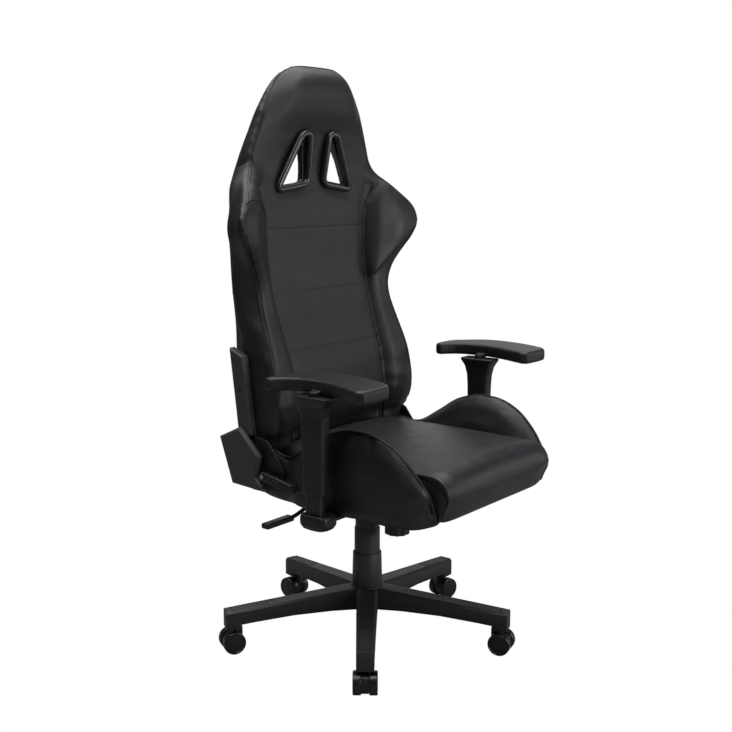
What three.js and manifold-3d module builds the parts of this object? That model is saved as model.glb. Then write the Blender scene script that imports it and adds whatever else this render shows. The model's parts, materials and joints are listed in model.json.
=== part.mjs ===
// Racing-style gaming chair on a five-star castored base.
// Millimetres, +Z up. The chair faces -Y, the sitter's left is +X, and the gas lift's axis is X = Y = 0
// until the last lines move the origin to the floor under the middle of the whole chair.

import * as THREE from 'three';
import { mergeVertices } from 'three/addons/utils/BufferGeometryUtils.js';
import Module from 'manifold-3d';

const wasm = await Module();
wasm.setup();

// General fits
const gap = 0.3; // between touching pieces
const over = 4; // overrun of every cutting solid
const turn = Math.PI * 2;
const legCount = 5;

// Casters
const wheelDiameter = 50;
const wheelWidth = 17;
const wheelSpacing = 16.6; // between the two wheels' inner faces
const wheelCrown = 5; // rounding of the tread's edges
const wheelDishDepth = 2.5;
const axleDiameter = 8;
const casterTrail = 13;
const stemDiameter = 11;
const stemLength = 36;
const casterHoodWall = 3;

// Star base
const legReach = 330; // column axis to the leg's end face
const stemInset = 28; // from the leg's end face to the caster stem
const stemReach = legReach - stemInset;
const legBossBottom = 55;
const legTipBottom = legBossBottom + 10;
const legTipTop = legTipBottom + 31;
const legRootBottom = legTipBottom + 6;
const legRootTop = legTipTop + 28;
const legArch = 7; // how much the underside rises between hub and foot
const legRootWidth = 50;
const legTipWidth = 37;
const legBossLength = 34;
const legWall = 4.5;
const legEdge = 5; // chamfer on the leg's upper edges
const footPadLength = 98;
const footPadDepth = 1.4;
const footPadMargin = 4.5;
const footPadEnd = 9; // from the leg's end face
const hubRadius = 37;
const hubTop = legRootTop;

// Gas lift and its covers
const columnRadius = 25;
const columnSocketRadius = columnRadius + gap;
const columnBottom = legRootBottom - 6;
const columnTop = columnBottom + 191;
const columnWall = 2;
const bushRadius = columnRadius - columnWall - gap;
const bushLength = 70;
const bushFlange = 3;
const liftStroke = 40; // from the column's top to the mechanism, as the chair stands
const housingBottom = columnTop + liftStroke - bushFlange;
const pressureRadius = 14;
const pressureWall = 2.5;
const bearingHeight = 7;
const seatLowering = 20; // how far the seat goes down from where it stands
const pressureBottom = columnBottom + columnWall + bearingHeight + seatLowering + 5;
const taperLength = 36;
const rodRadius = 5;
const rodTop = pressureBottom + 90;
const bearingRadius = 17;
const valveRadius = 4;
const valveLength = 6;
const coverWall = 1.6;
const lowerCoverBottomRadius = 34.5;
const lowerCoverTopRadius = 32.5;
const lowerCoverTop = hubTop + 68;
const middleCoverRadius = 29.3;
const middleCoverBottom = lowerCoverTop - 51;
const middleCoverTop = lowerCoverTop + 66;
const upperCoverRadius = 26.9;
const upperCoverWall = 1.2;
const upperCoverBottom = middleCoverTop - 59;

// Tilt mechanism
const housingWidth = 84;
const housingFront = 104; // forward of the column
const housingRear = 62;
const housingTop = housingBottom + 53;
const housingRearTop = housingBottom + 28;
const housingWall = 3;
const pressureTop = housingTop - 14;
const socketRadius = 21;
const tiltPinForward = 58; // forward of the column
const tiltPinHeight = housingTop - 11;
const tiltPinRadius = 6;
const plateWidth = 176;
const plateFront = 118;
const plateRear = 104;
const plateThickness = 5;
const plateSlotWidth = 9;
const plateSlotLength = 26;
const earThickness = 4;
const earRadius = 17;
const knobForward = 84;
const knobRadius = 29;
const knobTop = housingBottom - 2;
const knobHeight = 33;
const knobScallops = 10;
const knobScallopDepth = 3;
const knobStemRadius = 5;
const springWireRadius = 2.4;
const springRadius = 14;
const springTurns = 4;
const springBottom = housingBottom + 7;
const springTop = housingTop - 11;
const leverBack = 48; // behind the column
const leverHeight = housingBottom + 22;
const leverRodRadius = 4.5;
const leverElbowOut = 132;
const leverElbowHeight = leverHeight + 18;
const leverGripOut = 208;
const leverGripHeight = leverHeight + 5;
const gripLength = 82;
const gripWidth = 22;
const gripThickness = 12;
const lockBushRadius = 9;
const lockBushLength = 16;
const leverPlay = 0.8; // the rod rocks in its bush

// Seat frame and seat
const frameBottom = housingTop + 20;
const frameTube = 20;
const frameTop = frameBottom + frameTube;
const frameHalfWidth = 200;
const frameFront = 285;
const frameRearInner = 66; // front face of the rear cross bar, behind the column
const frameFrontBar = 80; // front face of the middle cross bar, before the column
const webThickness = 2.5;
const webStrapWidth = 34;
const seatTop = frameTop + 86;
const seatCrown = 10;
const seatHalfWidth = 203;
const seatFront = 358;
const seatRear = 92;
const seatNoseBottom = frameBottom + 5;
const seatNoseLength = 50; // rolled front that hangs before the frame
const seatNoseRadius = 46;
const seatNoseTuck = 20; // how far the nose draws back at its foot
const seatSideRounding = 14;
const seatCornerRounding = 22;
const wingBottom = frameBottom + gap;
const wingFront = 347;
const wingRear = 75;
const wingPeakForward = 160;
const wingPeakTop = seatTop + 74;
const wingFrontTop = seatTop - 64;
const wingRearTop = seatTop - 30;
const wingRidge = 244; // half width at the ridge
const wingBulge = 19; // how far the outer face stands out past the ridge
const wingStations = 19;

// Recline hinge and side brackets
const hingeBack = 116; // behind the column
const hingeHeight = frameTop + 66;
const hingeShaftRadius = 6;
const hingeBarHeight = 25;
const hingeBarDepth = 25;
const seatEarInner = 246;
const seatEarThickness = 4;
const seatEarReach = 90; // hinge to the front of the ear
const backEarInner = seatEarInner + seatEarThickness + 2 * gap;
const backEarThickness = 3.5;
const backEarRadius = 27;
const backEarWidth = 26;
const uprightInner = seatEarInner + gap;
const uprightThickness = 18;
const uprightDepth = 36;
const uprightBottom = hingeHeight + 50;
const uprightTop = hingeHeight + 233;
const uprightTopDrop = 16;
const uprightBack = hingeBack + 10; // its middle behind the column, at the height below
const uprightBackHeight = hingeHeight + 40;
const uprightLean = 0.111; // backwards for each unit of height
const uprightBevel = 3;
const hexInner = uprightInner + uprightThickness + gap;
const hexThickness = 11.4;
const hexBevel = 5;
const hexWall = 3;
const hexHeight = 130;
const pillarRadius = 6;
const leverPivotBack = hingeBack - 46;
const leverPivotHeight = hingeHeight - 32;
const reclineLeverInner = hexInner + gap;
const reclineLeverThickness = 9;
const reclineLeverLength = 92;
const reclineLeverWidth = 20;
const reclineLeverDroop = 0.2;
const reclineLeverGrooves = 3;
const grooveDepth = 1.5;

// Arms
const armOut = 305;
const armForward = 103;
const postLength = 40;
const postWidth = 20;
const postWall = 2.5;
const postCorner = 6;
const sleeveLength = 57;
const sleeveWidth = 31;
const sleeveFootLength = 52;
const sleeveFootWidth = 28;
const sleeveBottom = frameBottom + 52;
const sleeveTop = sleeveBottom + 200;
const postTop = sleeveTop - 68;
const sleeveHead = 24; // solid head over the bore
const sleeveFlareLength = 88;
const sleeveFlareWidth = 44;
const sleeveFlareHeight = 40;
const triggerWidth = 17;
const triggerHeight = 8;
const triggerLength = 24;
const triggerRise = 12; // its underside below the sleeve's top
const bootLength = 70;
const bootWidth = 50;
const bootInset = 4; // its middle inward and forward of the post's
const bootTop = frameBottom + 12;
const bootBottom = frameBottom - 20;
const armBarWidth = 50;
const armBarThickness = 6;
const armBarInner = 110;
const armBarOuter = 318;
const padBottom = sleeveTop + 3;
const padThickness = 28;
const padBevel = 6;
const padRear = 105; // behind the post's middle
const padFront = 149;
const padPivotRadius = 12;
const padPivotDepth = 10;

// Back
const backBottom = hingeHeight + 14;
const backHeight = 818;
const backHalfWidth = 250;
const backDepth = 200; // column axis to the rear of the back's foot
const backTop = backBottom + backHeight;
const bolsterTop = backBottom + 590;
const backEndRounding = 26;
const seamDip = 4;
const bolsterCrown = 9;
const bezelWall = 3.5;
const bezelLip = 4; // from the ridge of the rim in to the hole
const bezelFlange = 5; // from the ridge of the rim out to the flange's edge
const bezelFlangeDepth = 9;
const bezelProud = 3;
const bezelDepth = 15;
const bezelLean = 0.094;
const bezelHeight = 109; // of the hole's rim
const bezelBottom = backBottom + 566; // height of the rim's inner corner
const bezelBack = 149; // its front plane behind the column, half way up
const bezelCorner = 12;
const frameTubeRadius = 10;

// Materials
const paint = (color, roughness, metalness = 0) => new THREE.MeshStandardMaterial({ color, roughness,
  metalness });
const leather = paint(0x1b1c20, 0.42);
const panelLeather = paint(0x1d1e22, 0.6);
const nylon = paint(0x1c1d1f, 0.62);
const plastic = paint(0x202124, 0.55);
const steel = paint(0x17181a, 0.45, 0.6);
const chrome = paint(0xb9bcc2, 0.25, 1);
const padRubber = paint(0x1f2023, 0.58);
const fabric = paint(0x141416, 0.95);
const wheelNylon = paint(0x1a1b1d, 0.4);

// Solids

const solidOf = (geometry) => {
  const plain = geometry.clone();
  plain.deleteAttribute('normal');
  plain.deleteAttribute('uv');
  const merged = mergeVertices(plain, gap / 1000);
  const vertProperties = new Float32Array(merged.attributes.position.array);
  const triVerts = new Uint32Array(merged.index.array);
  return new wasm.Manifold(new wasm.Mesh({ numProp: 3, vertProperties, triVerts }));
};

const geometryOf = (solid) => {
  const mesh = solid.getMesh();
  const geometry = new THREE.BufferGeometry();
  geometry.setAttribute('position', new THREE.BufferAttribute(new Float32Array(mesh.vertProperties), 3));
  geometry.setIndex(new THREE.BufferAttribute(new Uint32Array(mesh.triVerts), 1));
  geometry.computeVertexNormals();
  return geometry;
};

const join = (...geometries) => geometryOf(geometries.map(solidOf).reduce((all, one) => all.add(one)));
const cut = (geometry, ...tools) => geometryOf(tools.map(solidOf).reduce((all, one) => all.subtract(one),
  solidOf(geometry)));
const common = (one, other) => geometryOf(solidOf(one).intersect(solidOf(other)));

// A mirrored copy keeps its faces pointing out
const mirrored = (geometry) => {
  const flipped = geometry.index ? geometry.toNonIndexed() : geometry.clone();
  flipped.scale(-1, 1, 1);
  const p = flipped.attributes.position;
  for (let i = 0; i < p.count; i += 3) {
    const a = new THREE.Vector3().fromBufferAttribute(p, i);
    const b = new THREE.Vector3().fromBufferAttribute(p, i + 1);
    p.setXYZ(i, b.x, b.y, b.z);
    p.setXYZ(i + 1, a.x, a.y, a.z);
  }
  flipped.computeVertexNormals();
  return flipped;
};

// Box from its lowest and highest corner
const block = (x0, y0, z0, x1, y1, z1) =>
  new THREE.BoxGeometry(x1 - x0, y1 - y0, z1 - z0).translate((x0 + x1) / 2, (y0 + y1) / 2, (z0 + z1) / 2);

// Upright round bar between two heights
const post = (radius, z0, z1, x = 0, y = 0, sides = 24) =>
  new THREE.CylinderGeometry(radius, radius, z1 - z0, sides).rotateX(turn / 4).translate(x, y,
    (z0 + z1) / 2);

// Round bar along X between two places
const axle = (radius, x0, x1, y, z, sides = 20) =>
  new THREE.CylinderGeometry(radius, radius, Math.abs(x1 - x0),
    sides).rotateZ(turn / 4).translate((x0 + x1) / 2, y, z);

// Turned body about the Z axis from [radius, height] points
const turned = (points, sides = 24) =>
  new THREE.LatheGeometry(points.map(([r, z]) => new THREE.Vector2(r, z)), sides).rotateX(turn / 4);

// Plate seen along X: outline in [y, z], from x0 outwards by a thickness
const sidePlate = (outline, x0, thickness, bevel = 0) => {
  const shape = Array.isArray(outline) ? new THREE.Shape(outline.map(([y, z]) =>
    new THREE.Vector2(y, z))) : outline;
  const options = { depth: thickness - 2 * bevel, bevelEnabled: bevel > 0, bevelThickness: bevel,
    bevelSize: bevel, bevelOffset: -bevel, bevelSegments: 1, curveSegments: 5 };
  return new THREE.ExtrudeGeometry(shape, options).translate(0, 0,
    bevel).applyMatrix4(new THREE.Matrix4().set(
    0, 0, 1, x0,
    1, 0, 0, 0,
    0, 1, 0, 0,
    0, 0, 0, 1,
  ));
};

// Flat plate seen from above, from a height upwards
const flatPlate = (shape, z0, thickness, bevel = 0, segments = 1, curveSegments = 8) =>
  new THREE.ExtrudeGeometry(shape, { depth: thickness - 2 * bevel, bevelEnabled: bevel > 0,
    bevelThickness: bevel, bevelSize: bevel, bevelOffset: -bevel, bevelSegments: segments, curveSegments })
    .translate(0, 0, z0 + bevel);

const roundedRectangle = (length, width, radius) => {
  const x = width / 2;
  const y = length / 2;
  const shape = new THREE.Shape();
  shape.moveTo(-x + radius, -y);
  shape.lineTo(x - radius, -y);
  shape.quadraticCurveTo(x, -y, x, -y + radius);
  shape.lineTo(x, y - radius);
  shape.quadraticCurveTo(x, y, x - radius, y);
  shape.lineTo(-x + radius, y);
  shape.quadraticCurveTo(-x, y, -x, y - radius);
  shape.lineTo(-x, -y + radius);
  shape.quadraticCurveTo(-x, -y, -x + radius, -y);
  return shape;
};

// Closed body through equal rings of points; the ends are closed by fans about their middles
const loft = (rings) => {
  const size = rings[0].length;
  const points = rings.flat();
  const middle = (ring) => ring.reduce((sum, p) => sum.add(p),
    new THREE.Vector3()).divideScalar(ring.length);
  const first = points.length;
  points.push(middle(rings[0]), middle(rings[rings.length - 1]));
  const index = [];
  for (let r = 0; r < rings.length - 1; r++) {
    for (let i = 0; i < size; i++) {
      const a = r * size + i;
      const b = r * size + ((i + 1) % size);
      index.push(a, b, b + size, a, b + size, a + size);
    }
  }
  const last = (rings.length - 1) * size;
  for (let i = 0; i < size; i++) {
    const j = (i + 1) % size;
    index.push(first, j, i, first + 1, last + i, last + j);
  }
  const geometry = new THREE.BufferGeometry();
  geometry.setAttribute('position', new THREE.Float32BufferAttribute(points.flatMap((p) =>
    [p.x, p.y, p.z]), 3));
  geometry.setIndex(index);
  geometry.computeVertexNormals();
  return geometry;
};

const mix = (a, b, t) => a + (b - a) * t;
const smooth = (t) => t * t * (3 - 2 * t);

// Smooth reading of a table of [place, value] rows
const reading = (rows) => {
  const curve = new THREE.CatmullRomCurve3(rows.map(([at, value]) => new THREE.Vector3(at, value, 0)),
    false, 'centripetal');
  const samples = curve.getPoints(rows.length * 12);
  return (at) => {
    let i = 0;
    while (i < samples.length - 2 && samples[i + 1].x < at) i++;
    const [a, b] = [samples[i], samples[i + 1]];
    return mix(a.y, b.y, THREE.MathUtils.clamp((at - a.x) / (b.x - a.x), 0, 1));
  };
};

// Assembly

const chair = new THREE.Group();
chair.name = 'gaming_chair';
const add = (name, geometry, material, parent = chair) => {
  const mesh = new THREE.Mesh(geometry, material);
  mesh.name = name;
  parent.add(mesh);
  return mesh;
};
const sides = [['left', 1], ['right', -1]];
const sided = (geometry, side) => (side > 0 ? geometry : mirrored(geometry));

// Star base: one leg is a loft along its length, cut hollow from below and ribbed

const legTopAt = (r) => mix(legRootTop, legTipTop, r / legReach);
const legHalfWidthAt = (r) => mix(legRootWidth, legTipWidth, r / legReach) / 2;
const legBottomAt = (r) => {
  const t = THREE.MathUtils.clamp(r / (legReach - legBossLength), 0, 1);
  return mix(legRootBottom, legTipBottom, t) + legArch * Math.sin(t * turn / 2);
};

const legRing = (r, bottom, inset, edge, lowerTop = 0) => {
  const w = legHalfWidthAt(r) - inset;
  const top = legTopAt(r) - lowerTop;
  return [[-w, bottom], [w, bottom], [w, top - edge], [w - edge, top], [-w + edge, top], [-w, top - edge]]
    .map(([y, z]) => new THREE.Vector3(r, y, z));
};

const makeLeg = () => {
  const bossStart = legReach - legBossLength;
  const body = loft([0, 0.3, 0.6, 0.9].map((share) => legRing(share * bossStart,
    legBottomAt(share * bossStart), 0, legEdge))
    .concat([legRing(bossStart, legTipBottom, 0, legEdge), legRing(bossStart + gap, legBossBottom, 0,
      legEdge), legRing(legReach, legBossBottom, 0, legEdge)]));
  const pocketStart = hubRadius + legWall;
  const pocketEnd = bossStart - legWall;
  const pocket = loft([0, 0.5, 1].map((share) => {
    const r = mix(pocketStart, pocketEnd, share);
    return legRing(r, legBottomAt(r) - over, legWall, legEdge / 2, 2 * legWall);
  }));
  const padShape = roundedRectangle(legTipWidth - 2 * footPadMargin, footPadLength, footPadMargin);
  const padSlope = Math.atan2(legRootTop - legTipTop, legReach);
  const padMiddle = legReach - footPadEnd - footPadLength / 2;
  const recess = flatPlate(padShape, 0, over + footPadDepth, 0, 1, 2)
    .translate(0, 0, -footPadDepth).rotateY(padSlope).translate(padMiddle, 0, legTopAt(padMiddle));
  const ribThickness = legWall / 1.5;
  const ribs = [0.33, 0.66].map((share) => {
    const r = mix(pocketStart, pocketEnd, share);
    return block(r - ribThickness / 2, -legHalfWidthAt(r) + legWall / 2, legBottomAt(r) + legWall / 2,
      r + ribThickness / 2, legHalfWidthAt(r) - legWall / 2, legTopAt(r) - legWall);
  });
  const bore = post(stemDiameter / 2 + gap, legBossBottom - over, legBossBottom + stemLength + gap,
    stemReach, 0, 12);
  return join(cut(body, pocket, recess, bore), ...ribs);
};

const makeStarBase = () => {
  const hub = turned([[0, legRootBottom], [hubRadius - legEdge, legRootBottom],
    [hubRadius, legRootBottom + legEdge],
    [hubRadius, hubTop - gap], [0, hubTop - gap]], 25);
  const leg = makeLeg();
  const legs = Array.from({ length: legCount }, (_, k) => leg.clone().rotateZ(k * turn / legCount));
  const socket = post(columnSocketRadius, columnBottom - over, hubTop + over, 0, 0, 25);
  return cut(join(hub, ...legs), socket);
};

// In the photo one leg points at the camera
const baseTurn = THREE.MathUtils.degToRad(216.7);
const base = new THREE.Group();
base.rotation.z = baseTurn;
chair.add(base);
add('star_base', makeStarBase(), nylon, base);

// Casters: body with stem, axle and hood, and two wheels each

const wheelRadius = wheelDiameter / 2;
const bodyHalf = wheelSpacing / 2 - gap;

const makeCasterBody = () => {
  const fin = axle(wheelRadius - casterHoodWall, -bodyHalf, bodyHalf, 0, wheelRadius, 16);
  const neckTop = legBossBottom - gap;
  const neck = post(stemDiameter, wheelRadius, neckTop, 0, -casterTrail, 12);
  const stem = post(stemDiameter / 2, neckTop - over, legBossBottom + stemLength - gap, 0, -casterTrail,
    10);
  const pin = axle(axleDiameter / 2, -wheelSpacing / 2 - wheelWidth + casterHoodWall,
    wheelSpacing / 2 + wheelWidth - casterHoodWall, 0, wheelRadius, 10);
  const trimmedNeck = common(neck, block(-bodyHalf, -casterTrail - stemDiameter, wheelRadius, bodyHalf,
    stemDiameter, neckTop));
  return join(fin, trimmedNeck, stem, pin);
};

const makeWheel = () => {
  const half = wheelWidth / 2;
  const bore = axleDiameter / 2 + gap;
  const inner = wheelRadius - wheelCrown;
  const capStart = wheelWidth / 2 - casterHoodWall + gap;
  const tread = turned([[0, half], [inner - wheelDishDepth, half], [inner, half - wheelDishDepth / 2],
    [inner + wheelCrown / 2, half - wheelCrown / 6],
    [wheelRadius, half - wheelCrown], [wheelRadius, -half + wheelCrown],
      [inner + wheelCrown / 2, -half + wheelCrown / 4], [inner, -half],
    [bore, -half], [bore, capStart], [0, capStart]].reverse(), 16);
  return tread.rotateY(turn / 4);
};

// Rest angle of each caster about its stem, as the photo shows them, against straight out along the leg
const casterRest = [0, -5, -13, 13, 5].map(THREE.MathUtils.degToRad);
const casterBody = makeCasterBody();
const wheel = makeWheel();
for (let k = 0; k < legCount; k++) {
  const legGroup = new THREE.Group();
  legGroup.rotation.z = k * turn / legCount;
  base.add(legGroup);
  const caster = new THREE.Group();
  caster.position.x = stemReach;
  caster.rotation.z = casterRest[k] - turn / 4;
  legGroup.add(caster);
  const trailed = new THREE.Group();
  trailed.position.y = casterTrail;
  caster.add(trailed);
  add(`caster_${k + 1}_body`, casterBody, plastic, trailed);
  const offset = (wheelSpacing + wheelWidth) / 2;
  add(`caster_${k + 1}_wheel_a`, wheel, wheelNylon, trailed).position.set(offset, 0, wheelRadius);
  const second = add(`caster_${k + 1}_wheel_b`, wheel, wheelNylon, trailed);
  second.position.set(-offset, 0, wheelRadius);
  second.rotation.z = turn / 2;
}

// Gas lift: outer tube, guide bush, piston rod with thrust bearing, pressure tube with valve pin

const columnInner = columnRadius - columnWall;
add('column_tube', turned([[rodRadius + gap, columnBottom], [columnRadius, columnBottom],
  [columnRadius, columnTop],
  [columnInner, columnTop], [columnInner, columnBottom + columnWall],
    [rodRadius + gap, columnBottom + columnWall],
  [rodRadius + gap, columnBottom]]), steel);
const bushBore = pressureRadius + gap;
add('column_bush', turned([[bushBore, columnTop - bushLength], [bushRadius, columnTop - bushLength],
  [bushRadius, columnTop + gap],
  [columnRadius, columnTop + gap], [columnRadius, columnTop + bushFlange],
    [bushBore, columnTop + bushFlange],
  [bushBore, columnTop - bushLength]]), plastic);
const bearingBottom = columnBottom + columnWall + gap;
add('piston_rod', turned([[0, columnBottom], [rodRadius, columnBottom], [rodRadius, bearingBottom],
  [bearingRadius, bearingBottom],
  [bearingRadius, bearingBottom + bearingHeight], [rodRadius, bearingBottom + bearingHeight],
    [rodRadius, rodTop],
  [pressureRadius - pressureWall - gap, rodTop], [pressureRadius - pressureWall - gap,
    rodTop + bearingHeight], [0, rodTop + bearingHeight]], 16), chrome);
const pressureInner = pressureRadius - pressureWall;
const taperStart = pressureTop - taperLength;
const valveBore = valveRadius + gap;
add('pressure_tube', turned([[pressureInner, pressureBottom], [pressureRadius, pressureBottom],
  [pressureRadius, taperStart],
  [pressureRadius - pressureWall / 2, pressureTop], [valveBore, pressureTop],
    [valveBore, pressureTop - valveLength],
  [pressureInner, pressureTop - 2 * valveLength], [pressureInner, pressureBottom]], 16), steel);
add('valve_pin', turned([[0, pressureTop - valveLength], [valveRadius, pressureTop - valveLength],
  [valveRadius, pressureTop + valveLength / 2], [0, pressureTop + valveLength / 2]], 12), chrome);

// Telescopic covers

const stage = (bottomRadius, topRadius, wall, bottom, top, sideCount = 24) =>
  turned([[bottomRadius - wall, bottom], [bottomRadius, bottom],
  [topRadius, top], [topRadius - wall, top], [bottomRadius - wall, bottom]], sideCount);
add('cover_lower', stage(lowerCoverBottomRadius, lowerCoverTopRadius, coverWall, hubTop, lowerCoverTop),
  plastic);
add('cover_middle', stage(middleCoverRadius, middleCoverRadius - coverWall / 4, coverWall,
  middleCoverBottom, middleCoverTop), plastic);
const upperCoverTop = housingBottom - gap;
add('cover_upper', stage(upperCoverRadius, upperCoverRadius, upperCoverWall, upperCoverBottom,
  upperCoverTop), plastic);

// Tilt mechanism: pressed housing open below at the front, with the taper socket, spring pocket and pin bores

const makeHousing = () => {
  const half = housingWidth / 2;
  const outline = [[-housingFront, housingBottom + housingWall * 3],
    [-housingFront + housingWall * 4, housingBottom], [housingRear, housingBottom],
    [housingRear, housingRearTop], [0, housingTop - housingWall * 3], [-tiltPinForward, housingTop],
      [-housingFront, housingTop - housingWall * 2]];
  const shell = sidePlate(outline, -half, housingWidth);
  const pocket = sidePlate([[-housingFront + housingWall, housingBottom + housingWall * 2],
    [-housingFront + housingWall * 4, housingBottom + housingWall],
    [-socketRadius - housingWall, housingBottom + housingWall],
      [-socketRadius - housingWall, housingTop + over],
    [-housingFront + housingWall, housingTop + over]], -half + housingWall, housingWidth - 2 * housingWall);
  const rearPocket = block(-half + housingWall, socketRadius + housingWall, housingBottom + housingWall,
    half - housingWall, housingRear - housingWall, housingTop + over);
  const socket = post(pressureRadius + gap, housingBottom - over, housingTop + over, 0, 0, 20);
  const pinBore = axle(tiltPinRadius + gap, -half - over, half + over, -tiltPinForward, tiltPinHeight, 16);
  const knobBore = post(knobStemRadius + gap, housingBottom - over, housingTop, 0, -knobForward, 16);
  const leverBore = axle(lockBushRadius + gap, -half - over, -half + housingWall + over, leverBack,
    leverHeight, 16);
  return cut(shell, pocket, rearPocket, socket, pinBore, knobBore, leverBore);
};
add('tilt_housing', makeHousing(), steel);
const earInner = housingWidth / 2 + gap;
const earOuter = earInner + earThickness;
add('tilt_pin', axle(tiltPinRadius, -earOuter - earThickness, earOuter + earThickness, -tiltPinForward,
  tiltPinHeight, 16), chrome);

const makeKnob = () => {
  const shape = new THREE.Shape();
  const steps = knobScallops * 3;
  for (let i = 0; i <= steps; i++) {
    const angle = (i / steps) * turn;
    const r = knobRadius - knobScallopDepth * (0.5 - 0.5 * Math.cos(angle * knobScallops));
    const [x, y] = [r * Math.cos(angle), r * Math.sin(angle)];
    if (i === 0) shape.moveTo(x, y);
    else if (i < steps) shape.lineTo(x, y);
  }
  const grip = flatPlate(shape, knobTop - knobHeight, knobHeight, knobScallopDepth);
  const stem = post(knobStemRadius, knobTop - over, springTop + springWireRadius, 0, 0, 12);
  const nut = post(springRadius, springTop + gap, springTop + 3 * springWireRadius, 0, 0, 6);
  return join(grip, stem, nut).translate(0, -knobForward, 0);
};
add('tension_knob', makeKnob(), plastic);

// The spring is one unbroken wire, its curls worked out from pitch and radius
class Helix extends THREE.Curve {
  getPoint(t, target = new THREE.Vector3()) {
    const angle = t * springTurns * turn;
    return target.set(springRadius * Math.cos(angle), springRadius * Math.sin(angle),
      mix(springBottom, springTop - springWireRadius, t));
  }
}
const wire = new THREE.Shape();
wire.absarc(0, 0, springWireRadius, 0, turn, false);
add('tension_spring', new THREE.ExtrudeGeometry(wire, { steps: springTurns * 8, curveSegments: 3,
  bevelEnabled: false, extrudePath: new Helix() })
  .translate(0, -knobForward, 0), chrome);

// Lever: rod bent down to a flat moulded grip, in a lock bush that slides in the housing's side

const rodShape = new THREE.Shape();
rodShape.absarc(0, 0, leverRodRadius, 0, turn, false);
const leverStart = housingWidth / 2 - housingWall - lockBushLength;
const leverBends = [[leverStart, leverHeight], [housingWidth / 2 + lockBushLength * 0.6, leverHeight],
  [housingWidth / 2 + lockBushLength * 1.2, leverHeight],
  [leverElbowOut, leverElbowHeight], [leverGripOut - gripWidth / 2, leverGripHeight],
    [leverGripOut, leverGripHeight], [leverGripOut + gripWidth, leverGripHeight]];
const bentRod = new THREE.CatmullRomCurve3(leverBends.map(([out, z]) =>
  new THREE.Vector3(-out, leverBack, z)), false, 'centripetal');
add('lever_rod', new THREE.ExtrudeGeometry(rodShape, { steps: 15, curveSegments: 4, bevelEnabled: false,
  extrudePath: bentRod }), steel);
const makeGrip = () => {
  const body = sidePlate(roundedRectangle(gripThickness, gripWidth, gripThickness / 2.5), 0, gripLength,
    gripThickness / 8)
    .translate(-leverGripOut - gripLength, leverBack, leverGripHeight);
  const bore = axle(leverRodRadius + 2 * gap, -leverGripOut - gripWidth - gap, -leverGripOut + over,
    leverBack, leverGripHeight, 12);
  return cut(body, bore);
};
add('lever_grip', makeGrip(), plastic);
const bushInnerEnd = housingWidth / 2 - housingWall - lockBushLength / 2;
add('lever_lock_bush', cut(axle(lockBushRadius, -bushInnerEnd, -bushInnerEnd - lockBushLength, leverBack,
  leverHeight, 16),
  axle(leverRodRadius + leverPlay, -bushInnerEnd + over, -bushInnerEnd - lockBushLength - over, leverBack,
    leverHeight, 12)), plastic);

// Seat plate: pressed plate over the mechanism, its two ears on the tilt pin

const plateTop = frameBottom - gap;

const makeSeatPlate = () => {
  const bottom = plateTop - plateThickness;
  const shape = roundedRectangle(plateFront + plateRear, plateWidth, plateThickness * 3);
  const sheet = flatPlate(shape, bottom, plateThickness, 0, 1, 2).translate(0,
    (plateRear - plateFront) / 2, 0);
  const slots = [-1, 1].flatMap((x) => [-1, 1].map((y) => flatPlate(
    roundedRectangle(plateSlotLength, plateSlotWidth, plateSlotWidth / 2), bottom - over,
      plateThickness + 2 * over, 0, 1, 2)
    .translate(x * (plateWidth / 2 - plateSlotWidth * 1.5), y * (plateRear - plateSlotLength), 0)));
  const ears = [-1, 1].map((x) => {
    const [y, z] = [-tiltPinForward, tiltPinHeight];
    const outline = [[y - 2 * earRadius, bottom + 1 / 2 * plateThickness], [y - earRadius, z],
      [y - earRadius * 0.7, z - earRadius * 0.7], [y, z - earRadius],
      [y + earRadius * 0.7, z - earRadius * 0.7], [y + earRadius, z],
        [y + 2 * earRadius, bottom + 1 / 2 * plateThickness]];
    return sidePlate(outline, x > 0 ? earInner : -earInner - earThickness, earThickness);
  });
  const bore = axle(tiltPinRadius + gap, -earOuter - over, earOuter + over, -tiltPinForward, tiltPinHeight,
    16);
  return cut(join(sheet, ...ears), bore, ...slots);
};
add('seat_plate', makeSeatPlate(), steel);

// Seat frame: welded tube ladder, its rear bar carrying the two ears of the recline hinge

const frameRear = frameRearInner + frameTube * 1.5;

// Outline of the seat's ears as [back, up] from the hinge, in shares of their reach
const seatEarShares = [[0.27, -0.2], [0.18, 0.24], [-0.1, 0.5], [-0.36, 0.47], [-0.49, 0.41], [-1, -0.26],
  [-0.96, -0.37],
  [-0.73, -0.42], [-0.4, -0.66]];

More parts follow.
